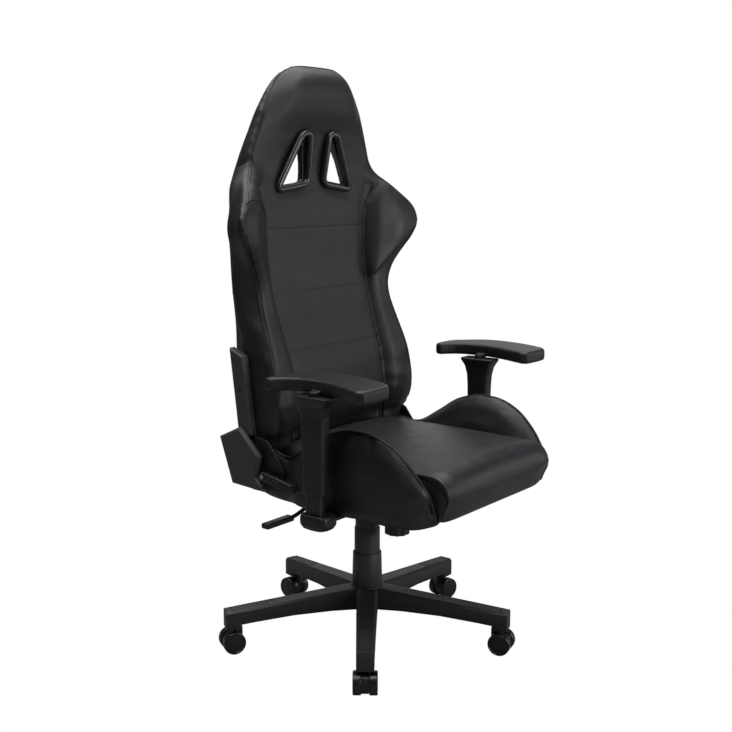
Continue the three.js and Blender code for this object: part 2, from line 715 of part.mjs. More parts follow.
const makeSeatFrame = () => {
  const shape = roundedRectangle(frameFront + frameRear, 2 * frameHalfWidth, frameTube);
  const middle = (frameRear - frameFront) / 2;
  const innerHalf = frameHalfWidth - frameTube;
  const window = (front, rear) => block(-innerHalf, -front, frameBottom - over, innerHalf, rear,
    frameTop + over);
  const ladder = flatPlate(shape, frameBottom, frameTube, 0, 1, 2).translate(0, middle, 0);
  const barFront = frameRear - hingeBarDepth / 8;
  const barBottom = frameTop - hingeBarHeight / 4;
  const barEnd = seatEarInner + seatEarThickness / 2;
  const bar = block(-barEnd, barFront, barBottom, barEnd, barFront + hingeBarDepth,
    barBottom + hingeBarHeight);
  const earOutline = [[barFront, barBottom], [barFront + hingeBarDepth, barBottom]]
    .concat(seatEarShares.map(([back, up]) => [hingeBack + back * seatEarReach,
      hingeHeight + up * seatEarReach]));
  const ears = [seatEarInner, -seatEarInner - seatEarThickness].map((x0) =>
    sidePlate(earOutline, x0, seatEarThickness));
  const boreEnd = seatEarInner + 2 * seatEarThickness;
  const bore = axle(hingeShaftRadius + gap, -boreEnd, boreEnd, hingeBack, hingeHeight, 14);
  return cut(join(ladder, bar, ...ears), window(frameFront - frameTube, -frameFrontBar - frameTube),
    window(frameFrontBar, frameRearInner), bore);
};
add('seat_frame', makeSeatFrame(), steel);

// Elastic webbing across the front window of the frame

const makeWebbing = () => {
  const halfX = frameHalfWidth - frameTube - gap;
  const front = frameFront - frameTube - gap;
  const rear = frameFrontBar + frameTube + gap;
  const columns = 5;
  const rows = 2;
  const top = frameTop - webThickness;
  const bottom = top - webThickness;
  const cellX = (2 * halfX - (columns + 1) * webStrapWidth) / columns;
  const cellY = (front - rear - (rows + 1) * webStrapWidth) / rows;
  const cells = [];
  for (let i = 0; i < columns; i++) {
    for (let j = 0; j < rows; j++) {
      const x = -halfX + webStrapWidth + i * (cellX + webStrapWidth);
      const y = -front + webStrapWidth + j * (cellY + webStrapWidth);
      cells.push(block(x, y, bottom - over, x + cellX, y + cellY, top + over));
    }
  }
  return cut(block(-halfX, -front, bottom, halfX, -rear, top), ...cells);
};
add('seat_webbing', makeWebbing(), fabric);

// Seat cushion: crowned top, sides drawn in, front rolled down before the frame

const cushionRingShares = [-1, -0.985, -0.94, -0.85, -0.65, -0.35, 0, 0.35, 0.65, 0.85, 0.94, 0.985, 1];

const makeSeatCushion = () => {
  const base = frameTop + gap;
  const rings = cushionRingShares.map((share) => {
    const edge = THREE.MathUtils.clamp((Math.abs(share) - 0.85) / 0.15, 0, 1);
    const draw = 1 - Math.sqrt(1 - edge * edge);
    const top = seatTop + seatCrown * (1 - share * share) - seatSideRounding * draw;
    const front = -seatFront + seatCornerRounding * draw;
    const foot = front + seatNoseTuck;
    const noseBack = -seatFront + seatNoseLength;
    const rear = seatRear - seatSideRounding * draw;
    const noseBottom = seatNoseBottom + seatSideRounding / 2 * draw;
    const ring = [[rear, base], [rear, top - seatSideRounding * 2],
      [rear - seatSideRounding * 0.5, top - seatSideRounding],
      [rear - seatSideRounding * 2, top], [mix(rear, front, 0.35), top + seatCrown * 0.1],
      [mix(rear, front, 0.7), top - seatCrown * 0.2]];
    for (let i = 0; i <= 5; i++) {
      const angle = (i / 5) * turn / 4;
      ring.push([front + seatNoseRadius * (1 - Math.sin(angle)),
        top - seatCrown * 0.4 - seatNoseRadius * (1 - Math.cos(angle))]);
    }
    ring.push([foot - seatCrown * 0.4, noseBottom + seatSideRounding * 0.6],
      [foot + seatCrown * 0.4, noseBottom],
      [noseBack - gap, noseBottom + seatCrown * 0.2], [noseBack, base]);
    return ring.map(([y, z]) => new THREE.Vector3(share * seatHalfWidth, y, z));
  });
  return loft(rings);
};
add('seat_cushion', makeSeatCushion(), leather);

// Seat wings: a ridge that climbs to its peak beside the thigh, a bulged outer face, a sloped inner face

// [share of the length from the front, share of the climb from the front or rear end to the peak]
const wingClimbShares = [[0, 0], [0.22, 0.42], [0.58, 0.87], [1, 1]];
const wingFallShares = [[0.3, 0.86], [0.58, 0.46], [0.8, 0.18], [1, 0]];
const wingTopAt = reading(wingClimbShares.map(([along, up]) =>
  [mix(-wingFront, -wingPeakForward, along), mix(wingFrontTop, wingPeakTop, up)])
  .concat(wingFallShares.map(([along, up]) => [mix(-wingPeakForward, wingRear, along),
    mix(wingRearTop, wingPeakTop, up)])));
// [share of the length from the front, share of the ridge's half width, share of the bulge]
const wingPlanShares = [[0, 0.925, 1], [0.2, 0.98, 1], [0.42, 1, 1], [0.78, 1, 1], [0.865, 0.958, 0.5],
  [1, 0.935, 0.4]];
const wingRidgeShareAt = reading(wingPlanShares.map(([along, wide]) => [along, wide]));
const wingBulgeShareAt = reading(wingPlanShares.map(([along, , bulge]) => [along, bulge]));

const makeWing = () => {
  const inner = seatHalfWidth + gap;
  const rings = [];
  for (let i = 0; i <= wingStations; i++) {
    const share = i / wingStations;
    const y = mix(-wingFront, wingRear, share);
    const ends = Math.min(share, 1 - share) * wingStations;
    const draw = ends < 2 ? 1 - Math.sqrt(1 - (1 - ends / 2) ** 2) : 0;
    const bulge = wingBulge * wingBulgeShareAt(share);
    const top = wingTopAt(y) - wingBulge * 0.7 * draw;
    const ridge = wingRidge * wingRidgeShareAt(share) - bulge * 0.5 * draw;
    const bottom = wingBottom + wingBulge * 0.4 * draw;
    const out = ridge + bulge * (1 - draw * 0.6);
    const high = top - bottom;
    const wide = ridge - inner;
    rings.push([[inner, bottom], [inner, mix(bottom, top, 0.45)],
      [inner + wide * 0.1, bottom + high * 0.62],
      [inner + wide * 0.45, bottom + high * 0.86], [inner + wide * 0.75, bottom + high * 0.97],
        [ridge - wide * 0.08, top],
      [ridge + bulge * 0.25, top - high * 0.03], [ridge + bulge * 0.72, top - high * 0.16],
        [out, bottom + high * 0.55],
      [out - bulge * 0.12, bottom + high * 0.28], [out - bulge * 0.4, bottom + high * 0.07],
      [out - bulge * 0.75, bottom]].map(([x, z]) => new THREE.Vector3(x, y, z)));
  }
  return loft(rings);
};
const wing = makeWing();
for (const [name, side] of sides) add(`seat_wing_${name}`, sided(wing, side), leather);

// Recline hinge: cross shaft, hexagonal covers on pillars from the seat's ears, lever on the sitter's right

const shaftEnd = hexInner + hexThickness - 2 * hexWall;
add('recline_shaft', axle(hingeShaftRadius, -shaftEnd, shaftEnd, hingeBack, hingeHeight, 14), steel);

// Corners of the cover as [back, up] from the hinge, in shares of its height
const hexShares = [[0.13, 0.515], [-0.315, 0.07], [-0.23, -0.27], [-0.455, -0.505], [0.3, -0.455],
  [0.545, 0.3]];
const hexPoint = ([back, up]) => [hingeBack + back * hexHeight, hingeHeight + up * hexHeight];
const pillarShares = [[-0.33, -0.41], [0.22, -0.34]];

const makeHexCover = () => {
  const outline = hexShares.map(hexPoint);
  const middle = outline.reduce(([a, b], [c, d]) => [a + c / outline.length, b + d / outline.length],
    [0, 0]);
  const insetShare = 1 - 2 * hexWall / (hexHeight / 2);
  const inset = outline.map(([y, z]) => [mix(middle[0], y, insetShare), mix(middle[1], z, insetShare)]);
  const body = common(sidePlate(outline, hexInner - hexThickness, 2 * hexThickness, hexBevel),
    block(hexInner, -hexHeight, hingeHeight - hexHeight, hexInner + 2 * hexThickness,
      hingeBack + hexHeight, hingeHeight + hexHeight));
  const pocket = sidePlate(inset, hexInner - over, hexThickness - hexWall + over);
  const pillars = pillarShares.map(hexPoint).map(([y, z]) =>
    axle(pillarRadius, seatEarInner + seatEarThickness + gap, hexInner + hexThickness - hexWall / 2, y, z,
    12));
  return join(cut(body, pocket), ...pillars);
};
const hexCover = makeHexCover();
for (const [name, side] of sides) add(`recline_cover_${name}`, sided(hexCover, side), plastic);

const makeReclineLever = () => {
  const half = reclineLeverWidth / 2;
  const shape = new THREE.Shape();
  shape.absarc(0, 0, half, -turn / 4, turn / 4, false);
  shape.lineTo(-reclineLeverLength + half, half);
  shape.lineTo(-reclineLeverLength, -half / 3);
  shape.lineTo(-reclineLeverLength + half, -half);
  const bar = sidePlate(shape, 0, reclineLeverThickness, grooveDepth);
  const pitch = (reclineLeverWidth - 2 * grooveDepth) / (2 * reclineLeverGrooves + 1);
  const grooves = Array.from({ length: reclineLeverGrooves }, (_, i) => {
    const z = -half + grooveDepth + pitch * (2 * i + 1);
    return block(reclineLeverThickness - grooveDepth, -reclineLeverLength + 1.5 * half, z,
      reclineLeverThickness + over, -half, z + pitch);
  });
  const hub = axle(half - 2 * grooveDepth, seatEarInner + seatEarThickness + gap - reclineLeverInner,
    grooveDepth, 0, 0, 14);
  return mirrored(join(cut(bar, ...grooves), hub).rotateX(reclineLeverDroop).translate(reclineLeverInner,
    leverPivotBack, leverPivotHeight));
};
add('recline_lever', makeReclineLever(), plastic);

// Arms: welded bar and post, boot, sliding sleeve with trigger, and the same pad moulding on both sides

const rounded = (length, width, corner, z) => {
  const points = roundedRectangle(length, width, corner).getPoints(3);
  return points.filter((p, i) => i === 0 || p.distanceTo(points[i - 1]) > gap).slice(0, 16).map((p) =>
    new THREE.Vector3(p.x, p.y, z));
};

const makeArmBracket = () => {
  const top = frameBottom - gap;
  const bar = flatPlate(roundedRectangle(armBarWidth, armBarOuter - armBarInner, armBarThickness),
    top - armBarThickness, armBarThickness, 0, 1, 2)
    .translate((armBarInner + armBarOuter) / 2 - armOut, 0, 0);
  const outer = roundedRectangle(postLength, postWidth, postCorner);
  outer.holes.push(new THREE.Path(roundedRectangle(postLength - 2 * postWall, postWidth - 2 * postWall,
    postCorner - postWall).getPoints(2).reverse()));
  const tube = flatPlate(outer, top - armBarThickness / 2, postTop - top + armBarThickness / 2, 0, 1, 2);
  return join(bar, tube);
};

const makeBoot = () => {
  const high = bootTop - bootBottom;
  const shell = loft([[0.62, 0], [0.86, 0.12], [1, 0.4], [1, 0.8], [0.93, 1]].map(([share, up]) =>
    rounded(bootLength * share, bootWidth * share, bootWidth / 3, bootBottom + up * high)))
    .translate(-bootInset, -bootInset, 0);
  const top = frameBottom - gap;
  const barHole = block(armBarInner - armOut, -armBarWidth / 2 - gap, top - armBarThickness - gap,
    armBarOuter - armOut + gap, armBarWidth / 2 + gap, top + gap);
  const postHole = flatPlate(roundedRectangle(postLength + 2 * gap, postWidth + 2 * gap, postCorner),
    top - gap, high, 0, 1, 2);
  return cut(shell, barHole, postHole);
};

const makeSleeve = () => {
  const neck = sleeveTop - sleeveFlareHeight;
  const corner = sleeveWidth / 2.6;
  const body = loft([[sleeveFootLength, sleeveFootWidth, sleeveBottom],
    [sleeveLength, sleeveWidth, mix(sleeveBottom, neck, 0.85)], [sleeveLength * 1.06, sleeveWidth, neck],
    [mix(sleeveLength, sleeveFlareLength, 0.4), mix(sleeveWidth, sleeveFlareWidth, 0.35),
      mix(neck, sleeveTop, 0.5)], [sleeveFlareLength, sleeveFlareWidth, sleeveTop - triggerHeight / 2],
    [sleeveFlareLength, sleeveFlareWidth, sleeveTop]].map(([length, width, z]) =>
      rounded(length, width, corner, z)));
  const bore = flatPlate(roundedRectangle(postLength + 2 * gap, postWidth + 2 * gap, postCorner),
    sleeveBottom - over, sleeveTop - sleeveHead - sleeveBottom + over, 0, 1, 2);
  const pivot = post(padPivotRadius + gap, sleeveTop - padPivotDepth - gap, sleeveTop + over, 0, 0, 18);
  const slot = block(-triggerWidth / 2 - gap, padPivotRadius + 2 * gap, sleeveTop - triggerRise - gap,
    triggerWidth / 2 + gap, sleeveFlareLength, sleeveTop - triggerRise + triggerHeight + gap);
  return cut(body, bore, pivot, slot);
};

const makeTrigger = () => {
  const inner = padPivotRadius + triggerRise / 2;
  const bottom = sleeveTop - triggerRise;
  return sidePlate([[inner, bottom], [inner + triggerLength, bottom],
    [inner + triggerLength * 0.8, bottom + triggerHeight], [inner, bottom + triggerHeight]],
    -triggerWidth / 2, triggerWidth);
};

// The pad's plan is a bowed outline, its bow to the sitter's left on both arms
const padRearShares = [[-0.3, 1], [-0.36, 0.93], [-0.02, 0.6], [0.06, 0.15]];
const padFrontShares = [[0.01, -0.18], [-0.08, -0.45], [-0.22, -0.78], [-0.29, -0.95], [-0.23, -1],
  [0.32, -1], [0.39, -0.93],
  [0.56, -0.58], [0.66, -0.2]];
const padReturnShares = [[0.97, 0.12], [0.88, 0.42], [0.65, 0.72], [0.44, 0.94], [0.36, 1]];
const padOutlinePoints = 38;

const makePad = () => {
  const scaled = (shares, length) => shares.map(([x, y]) => new THREE.Vector3(x * length, y * length, 0));
  const corners = [...scaled(padRearShares, padRear), ...scaled(padFrontShares, padFront),
    ...scaled(padReturnShares, padRear)];
  const outline = new THREE.CatmullRomCurve3(corners, true,
    'centripetal').getSpacedPoints(padOutlinePoints).slice(0, -1);
  const shape = new THREE.Shape(outline.map(({ x, y }) => new THREE.Vector2(x, y)));
  const slab = flatPlate(shape, padBottom, padThickness, padBevel, 2);
  const pivot = post(padPivotRadius, sleeveTop - padPivotDepth, padBottom + padBevel, 0, 0, 18);
  return join(slab, pivot);
};

const armBracket = makeArmBracket();
const boot = makeBoot();
const sleeve = makeSleeve();
const trigger = makeTrigger();
const pad = makePad();
for (const [name, side] of sides) {
  const arm = new THREE.Group();
  arm.position.set(side * armOut, -armForward, 0);
  chair.add(arm);
  add(`arm_bracket_${name}`, sided(armBracket, side), steel, arm);
  add(`arm_boot_${name}`, sided(boot, side), plastic, arm);
  add(`arm_sleeve_${name}`, sleeve, plastic, arm);
  add(`arm_trigger_${name}`, trigger, plastic, arm);
  add(`arm_pad_${name}`, pad, padRubber, arm);
}

// Back: one lofted form, read from its front edge, panel and rear, then split along the bolster seams

// All in shares of the back's height, half width and depth, from its foot up
// [height, half width at the front edge, its place behind the column]
const edgeShares = [[0, 0.904, 0.52], [0.015, 0.928, 0.43], [0.049, 0.944, 0.28], [0.089, 0.964, 0.24],
  [0.132, 0.972, 0.23],
  [0.205, 0.976, 0.285], [0.279, 0.952, 0.4], [0.352, 0.924, 0.525], [0.401, 0.916, 0.575],
    [0.438, 0.952, 0.565],
  [0.474, 1.028, 0.52], [0.505, 1.108, 0.47], [0.535, 1.172, 0.42], [0.572, 1.22, 0.4],
    [0.609, 1.196, 0.42],
  [0.645, 1.124, 0.48], [0.682, 1.02, 0.585], [0.713, 0.9, 0.705], [0.737, 0.848, 0.75],
    [0.78, 0.808, 0.76],
  [0.829, 0.744, 0.75], [0.878, 0.68, 0.745], [0.927, 0.592, 0.75], [0.961, 0.512, 0.78],
    [0.983, 0.42, 0.76],
  [0.995, 0.352, 0.74], [1, 0.28, 0.725]];
// [height, front face on the middle line, behind the column]
const faceShares = [[0, 0.52], [0.034, 0.46], [0.049, 0.42], [0.108, 0.36], [0.169, 0.38], [0.218, 0.43],
  [0.279, 0.515],
  [0.34, 0.605], [0.401, 0.67], [0.462, 0.71], [0.523, 0.735], [0.584, 0.735], [0.645, 0.75],
    [0.707, 0.755],
  [0.768, 0.735], [0.829, 0.675], [0.878, 0.59], [0.921, 0.55], [0.957, 0.56], [0.983, 0.61], [1, 0.705]];
// [height, half width where the side is fullest]
const sideShares = [[0, 0.92], [0.049, 0.956], [0.089, 0.968], [0.28, 0.972], [0.32, 1.01], [0.401, 1.03],
  [0.487, 1.056],
  [0.572, 1.12], [0.645, 1.056], [0.682, 0.976], [0.713, 0.888], [0.737, 0.84], [0.78, 0.792],
    [0.829, 0.734],
  [0.878, 0.672], [0.927, 0.58], [0.961, 0.484], [0.983, 0.396], [1, 0.256]];
// [height, half width at the rear edge, its place behind the column]
const rearShares = [[0, 0.8, 0.95], [0.049, 0.848, 1], [0.108, 0.88, 1.04], [0.267, 0.892, 1.065],
  [0.383, 0.896, 1.065],
  [0.487, 0.904, 1.085], [0.597, 0.912, 1.085], [0.674, 0.84, 1.075], [0.756, 0.704, 1.07],
    [0.817, 0.628, 1.015],
  [0.866, 0.568, 0.97], [0.922, 0.476, 0.91], [0.963, 0.388, 0.86], [0.988, 0.32, 0.82], [1, 0.24, 0.775]];
// [height, rear face on the middle line, behind the column]: thin behind the harness holes
const hollowShares = [[0, 0.95], [0.049, 1], [0.108, 1.04], [0.267, 1.065], [0.487, 1.08], [0.59, 1.06],
  [0.645, 0.98],
  [0.676, 0.87], [0.768, 0.845], [0.847, 0.84], [0.884, 0.88], [0.922, 0.895], [0.963, 0.86], [1, 0.775]];
// [height, half width at the seam between panel and bolster]
const seamShares = [[0, 0.632], [0.218, 0.64], [0.34, 0.652], [0.462, 0.672], [0.584, 0.688], [0.645, 0.72],
  [0.688, 0.784], [0.721, 0.864]];
const upBack = (share) => backBottom + share * backHeight;
const acrossBack = (rows, column, size) => reading(rows.map((row) => [upBack(row[0]), row[column] * size]));
const edgeWide = acrossBack(edgeShares, 1, backHalfWidth);
const edgeBack = acrossBack(edgeShares, 2, backDepth);
const faceBack = acrossBack(faceShares, 1, backDepth);
const sideWide = acrossBack(sideShares, 1, backHalfWidth);
const rearWide = acrossBack(rearShares, 1, backHalfWidth);
const rearBack = acrossBack(rearShares, 2, backDepth);
const hollowBack = acrossBack(hollowShares, 1, backDepth);
const seamWide = acrossBack(seamShares, 1, backHalfWidth);

// Half a section at one height, from the middle of the face round to the middle of the rear
const backSection = (z) => {
  const wide = edgeWide(z);
  const edge = edgeBack(z);
  const side = sideWide(z);
  const rearHalf = rearWide(z);
  const rear = rearBack(z);
  const hollow = hollowBack(z);
  const face = faceBack(z);
  const wings = THREE.MathUtils.clamp((bolsterTop - z) / backEndRounding, 0, 1);
  const seam = mix(wide * 0.72, Math.min(seamWide(Math.min(z, bolsterTop)), wide - 2 * seamDip), wings);
  const foot = THREE.MathUtils.clamp(1 - (z - backBottom) / backEndRounding, 0, 1);
  const head = THREE.MathUtils.clamp(1 - (backTop - z) / backEndRounding, 0, 1);
  const draw = 1 - Math.sqrt(1 - Math.max(foot, head) ** 2);
  const inset = draw * backEndRounding * 0.6;
  const round = (rear - edge) * 0.12;
  const rim = rearHalf * 0.86;
  const dish = rearHalf * 0.76;
  const points = [[0, face], [seam * 0.5, mix(face, edge, 0.02)],
    [seam * 0.85, mix(face, edge, 0.12 * (1 - wings))],
    [seam, mix(face, edge, 0.3 * (1 - wings)) + seamDip * wings],
    [mix(seam, wide, 0.22), mix(face, edge, mix(0.5, 0.3, wings)) - bolsterCrown * wings],
    [mix(seam, wide, 0.6), mix(face, edge, 0.78) - bolsterCrown * wings],
    [wide - seamDip, edge - seamDip / 4], [wide, edge + seamDip],
      [mix(wide, side, 0.9), mix(edge, rear, 0.3)],
    [side, mix(edge, rear, 0.55)], [mix(rearHalf, side, 0.35), rear - round * 1.6],
      [rearHalf - round * 0.5, rear - round * 0.25],
    [rim, rear], [dish, hollow], [0, hollow]];
  const middle = (edge + rear) / 2;
  return points.map(([x, y]) => [Math.max(0, x - inset * Math.sign(x) * x / wide),
    y + Math.sign(middle - y) * Math.min(inset, Math.abs(middle - y) * 0.9)]);
};

const makeBackBody = () => {
  const rings = edgeShares.map(([share]) => {
    const z = upBack(share);
    const half = backSection(z);
    const other = half.slice(1, -1).reverse().map(([x, y]) => [-x, y]);
    return half.concat(other).map(([x, y]) => new THREE.Vector3(x, y, z));
  });
  return loft(rings);
};

// Everything outside the seam and below the head, on the +X side, grown by a clearance
const makeSeamRegion = (clear) => {
  const far = wingRidge * 2;
  const heights = seamShares.slice(1, -1).map(([share]) => upBack(share));
  const rings = [backBottom - over, ...heights, bolsterTop + clear].map((z) => {
    const x = seamWide(THREE.MathUtils.clamp(z, backBottom, bolsterTop)) - clear;
    return [[x, -far], [far, -far], [far, 2 * far], [x, 2 * far]].map(([u, v]) =>
      new THREE.Vector3(u, v, z));
  });
  return loft(rings);
};

// Bezels of the harness holes: a lining through the cushion and a flange on its face

// The bezels lean about a point this far up them
const bezelPivotShare = 0.45;
// Corners of the rim's ridge as [from the middle line, up from its foot], in shares of its height
const bezelShares = [[0.44, 1], [1.092, -0.101], [0.339, 0]];
const bezelOutline = (grow) => {
  const corners = bezelShares.map(([x, z]) => new THREE.Vector2(x * bezelHeight,
    (z - bezelPivotShare) * bezelHeight));
  const middle = corners.reduce((sum, p) => sum.clone().add(p)).divideScalar(3);
  // Move each side out by the growth, then round the corners with short arcs
  const lines = corners.map((p, i) => {
    const q = corners[(i + 1) % 3];
    const normal = new THREE.Vector2(q.y - p.y, p.x - q.x).normalize();
    if (normal.dot(p.clone().sub(middle)) < 0) normal.negate();
    return { p: p.clone().addScaledVector(normal, grow), d: q.clone().sub(p) };
  });
  const meet = (a, b) => {
    const cross = a.d.x * b.d.y - a.d.y * b.d.x;
    const t = ((b.p.x - a.p.x) * b.d.y - (b.p.y - a.p.y) * b.d.x) / cross;
    return a.p.clone().addScaledVector(a.d, t);
  };
  const outer = lines.map((line, i) => meet(lines[(i + 2) % 3], line));
  const reach = bezelCorner + grow;
  return outer.flatMap((p, i) => {
    const from = outer[(i + 2) % 3].clone().sub(p).normalize();
    const to = outer[(i + 1) % 3].clone().sub(p).normalize();
    const curve = new THREE.QuadraticBezierCurve(p.clone().addScaledVector(from, reach), p,
      p.clone().addScaledVector(to, reach));
    return curve.getPoints(4);
  });
};

const bezelBody = (grow, front, rear) => new THREE.ExtrudeGeometry(new THREE.Shape(bezelOutline(grow)),
  { depth: rear - front, bevelEnabled: false })
  .rotateX(turn / 4).translate(0, rear, 0).rotateX(bezelLean).translate(0, bezelBack,
    bezelBottom + bezelPivotShare * bezelHeight);

const makeBezel = () => {
  const lining = bezelBody(bezelWall - bezelLip, -bezelProud, bezelDepth);
  const flange = bezelBody(bezelFlange, -bezelProud, bezelFlangeDepth);
  const hole = bezelBody(-bezelLip, -bezelProud - over, bezelDepth + over);
  return cut(join(lining, flange), hole);
};
const bezelSocket = (side) => {
  const lining = bezelBody(bezelWall - bezelLip + gap, -bezelProud - over, bezelDepth * 5);
  const flange = bezelBody(bezelFlange + gap, -bezelProud - 4 * over, bezelFlangeDepth + gap);
  return [lining, flange].map((geometry) => sided(geometry, side));
};

// Tube frame inside the back: one bent tube, its ends welded to the ears on the hinges

const uprightAt = (z) => uprightBack + (z - uprightBackHeight) * uprightLean;

// Bends of half the tube after its straight end, as shares of the back's half width, depth and height
const tubeBendShares = [[0.7, 0.685, 0.164], [0.61, 0.7, 0.205], [0.6, 0.815, 0.352], [0.6, 0.915, 0.5],
  [0.584, 0.935, 0.57],
  [0.49, 0.94, 0.602], [0.24, 0.94, 0.609]];
const tubeEndHeight = upBack(0.156);
const makeFrameTube = (extra) => {
  const end = new THREE.Vector3(backEarInner + backEarThickness, uprightAt(tubeEndHeight), tubeEndHeight);
  const straight = end.clone().setX(backEarInner - backEarWidth * 1.5);
  const bends = tubeBendShares.map(([x, y, z]) => new THREE.Vector3(x * backHalfWidth, y * backDepth,
    upBack(z)));
  const halfPath = [end, straight, ...bends];
  const otherHalf = halfPath.slice().reverse().map((p) => new THREE.Vector3(-p.x, p.y, p.z));
  const path = new THREE.CatmullRomCurve3([...halfPath, ...otherHalf], false, 'centripetal');
  const section = new THREE.Shape();
  const corners = 8;
  for (let i = 0; i < corners; i++) {
    const angle = (i / corners) * turn;
    const r = frameTubeRadius + extra;
    if (i === 0) section.moveTo(r, 0);
    else section.lineTo(r * Math.cos(angle), r * Math.sin(angle));
  }
  return new THREE.ExtrudeGeometry(section, { steps: 34, bevelEnabled: false, extrudePath: path });
};

const makeBackEar = (grow) => {
  const half = backEarWidth / 2 + grow;
  const radius = backEarRadius + grow;
  const [y, z] = [hingeBack, hingeHeight];
  const low = uprightBottom + backEarWidth;
  const high = uprightTop - backEarWidth + grow;
  const outline = [[uprightAt(high) - half, high], [uprightAt(low) - half, low],
    [y - radius, z + radius / 4],
    [y - radius * 0.7, z - radius * 0.7], [y, z - radius], [y + radius * 0.7, z - radius * 0.7],
      [y + radius, z],
    [uprightAt(low) + half, low], [uprightAt(high) + half, high]];
  return sidePlate(outline, backEarInner - grow, backEarThickness + 2 * grow);
};
const hingeBore = axle(hingeShaftRadius + gap, backEarInner - over, backEarInner + backEarThickness + over,
  hingeBack, hingeHeight, 14);
const backEar = cut(makeBackEar(0), hingeBore);
const tubeEnd = backEarInner + backEarThickness / 2;
const tubeTrim = block(-tubeEnd, -hingeHeight, 0, tubeEnd, hingeHeight, backTop);
add('back_frame', join(common(makeFrameTube(0), tubeTrim), backEar, mirrored(backEar)), steel);

// Cover over the back's ear, slotted for the ear and notched for the tube welded to it
const makeUpright = () => {
  const half = uprightDepth / 2;
  const outline = [[uprightAt(uprightBottom) - half, uprightBottom],
    [uprightAt(uprightBottom) + half, uprightBottom],
    [uprightAt(uprightTop) + half, uprightTop], [uprightAt(uprightTop) - half,
      uprightTop - uprightTopDrop]];
  const solid = common(sidePlate(outline, uprightInner - uprightThickness, 2 * uprightThickness,
    uprightBevel),
    block(uprightInner, 0, 0, uprightInner + 2 * uprightThickness, hingeHeight, backTop));
  const notch = axle(frameTubeRadius + 2 * gap, uprightInner - over, backEarInner,
    uprightAt(tubeEndHeight), tubeEndHeight, 12);
  const mouth = block(uprightInner - over, uprightAt(tubeEndHeight) - frameTubeRadius - 2 * gap,
    uprightBottom - over,
    backEarInner, uprightAt(tubeEndHeight) + frameTubeRadius + 2 * gap, tubeEndHeight);
  return cut(solid, makeBackEar(gap), notch, mouth);
};
const upright = makeUpright();
for (const [name, side] of sides) add(`upright_cover_${name}`, sided(upright, side), plastic);

const backBody = makeBackBody();
const channel = makeFrameTube(gap);
const seamRegion = makeSeamRegion(0);
const seamClear = makeSeamRegion(gap);
add('back_cushion', cut(backBody, seamClear, mirrored(seamClear), channel, ...bezelSocket(1),
  ...bezelSocket(-1)), panelLeather);
const bolster = cut(common(backBody, seamRegion), channel);
for (const [name, side] of sides) add(`back_bolster_${name}`, sided(bolster, side), leather);
const bezel = makeBezel();
for (const [name, side] of sides) add(`harness_bezel_${name}`, sided(bezel, side), plastic);

// The origin is the floor under the middle of the whole chair

const bounds = new THREE.Box3().setFromObject(chair, true);
const centre = bounds.getCenter(new THREE.Vector3());
chair.position.set(-centre.x, -centre.y, -bounds.min.z);

export default chair;
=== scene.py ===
"""Racing-style gaming chair in black coated leather on a star base, dressed round its fixed frame"""
import bpy
import bmesh
import json
import math
from mathutils import Matrix, Vector, noise


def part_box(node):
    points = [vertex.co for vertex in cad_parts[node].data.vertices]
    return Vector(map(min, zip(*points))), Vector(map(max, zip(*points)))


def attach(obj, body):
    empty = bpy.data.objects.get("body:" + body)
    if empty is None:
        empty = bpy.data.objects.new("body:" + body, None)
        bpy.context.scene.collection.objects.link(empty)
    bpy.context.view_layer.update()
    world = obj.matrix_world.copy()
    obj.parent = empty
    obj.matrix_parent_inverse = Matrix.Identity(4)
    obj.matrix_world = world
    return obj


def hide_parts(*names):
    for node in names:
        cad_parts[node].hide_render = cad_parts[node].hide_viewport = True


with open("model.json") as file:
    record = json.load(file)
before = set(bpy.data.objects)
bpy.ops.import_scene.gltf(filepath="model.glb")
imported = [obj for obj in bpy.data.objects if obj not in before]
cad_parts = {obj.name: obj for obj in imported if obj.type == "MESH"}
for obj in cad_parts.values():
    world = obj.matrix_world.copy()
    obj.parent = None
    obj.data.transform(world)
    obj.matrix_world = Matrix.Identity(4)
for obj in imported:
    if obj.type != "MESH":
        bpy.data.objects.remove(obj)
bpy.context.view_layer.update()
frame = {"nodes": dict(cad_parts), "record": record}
nodes = frame["nodes"]
bpy.ops.object.select_all(action="DESELECT")
HOME = {node: body for body, row in frame["record"]["behaviour"]["bodies"].items() for node in row}
SLOT = {part["node"]: part["material_slot"] for part in frame["record"]["subparts"]}
SIDES = (("left", 1), ("right", -1))
UP = Vector((0, 0, 1))

# Places are measured as a chair maker would: millimetres sideways, back and up from the gas lift's axis
low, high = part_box("column_tube")
axis_place = Vector(((low.x + high.x) / 2, (low.y + high.y) / 2, 0))
MM = 0.001


def at(x, y, z):
    """A place in the scene's metres from millimetres on the chair's own axes"""
    return axis_place + Vector((x, y, z)) * MM


# Camera

VIEW_TURN = 52.5
VIEW_DROP = 9.34
camera_data = bpy.data.cameras.new("camera")
camera_data.sensor_width = 36
camera_data.lens = 56.87
camera = bpy.data.objects.new("camera", camera_data)
bpy.context.scene.collection.objects.link(camera)
camera.location = at(-2014.3, -1542.1, 1045.1)
camera.rotation_euler = (math.radians(90 - VIEW_DROP), 0, math.radians(-VIEW_TURN))
bpy.context.scene.camera = camera


# Studio lights: a wide softbox overhead, one in front, weak ones at the sides and behind. Metres and watts

def softbox(name, place, aim, size, watts):
    """A rectangular lamp that looks from place to aim"""
    lamp = bpy.data.lights.new(name, "AREA")
    lamp.shape = "RECTANGLE"
    lamp.size, lamp.size_y = size
    lamp.energy = watts
    holder = bpy.data.objects.new(name, lamp)
    bpy.context.scene.collection.objects.link(holder)
    holder.location = place
    holder.rotation_euler = (Vector(aim) - Vector(place)).to_track_quat("-Z", "Y").to_euler()


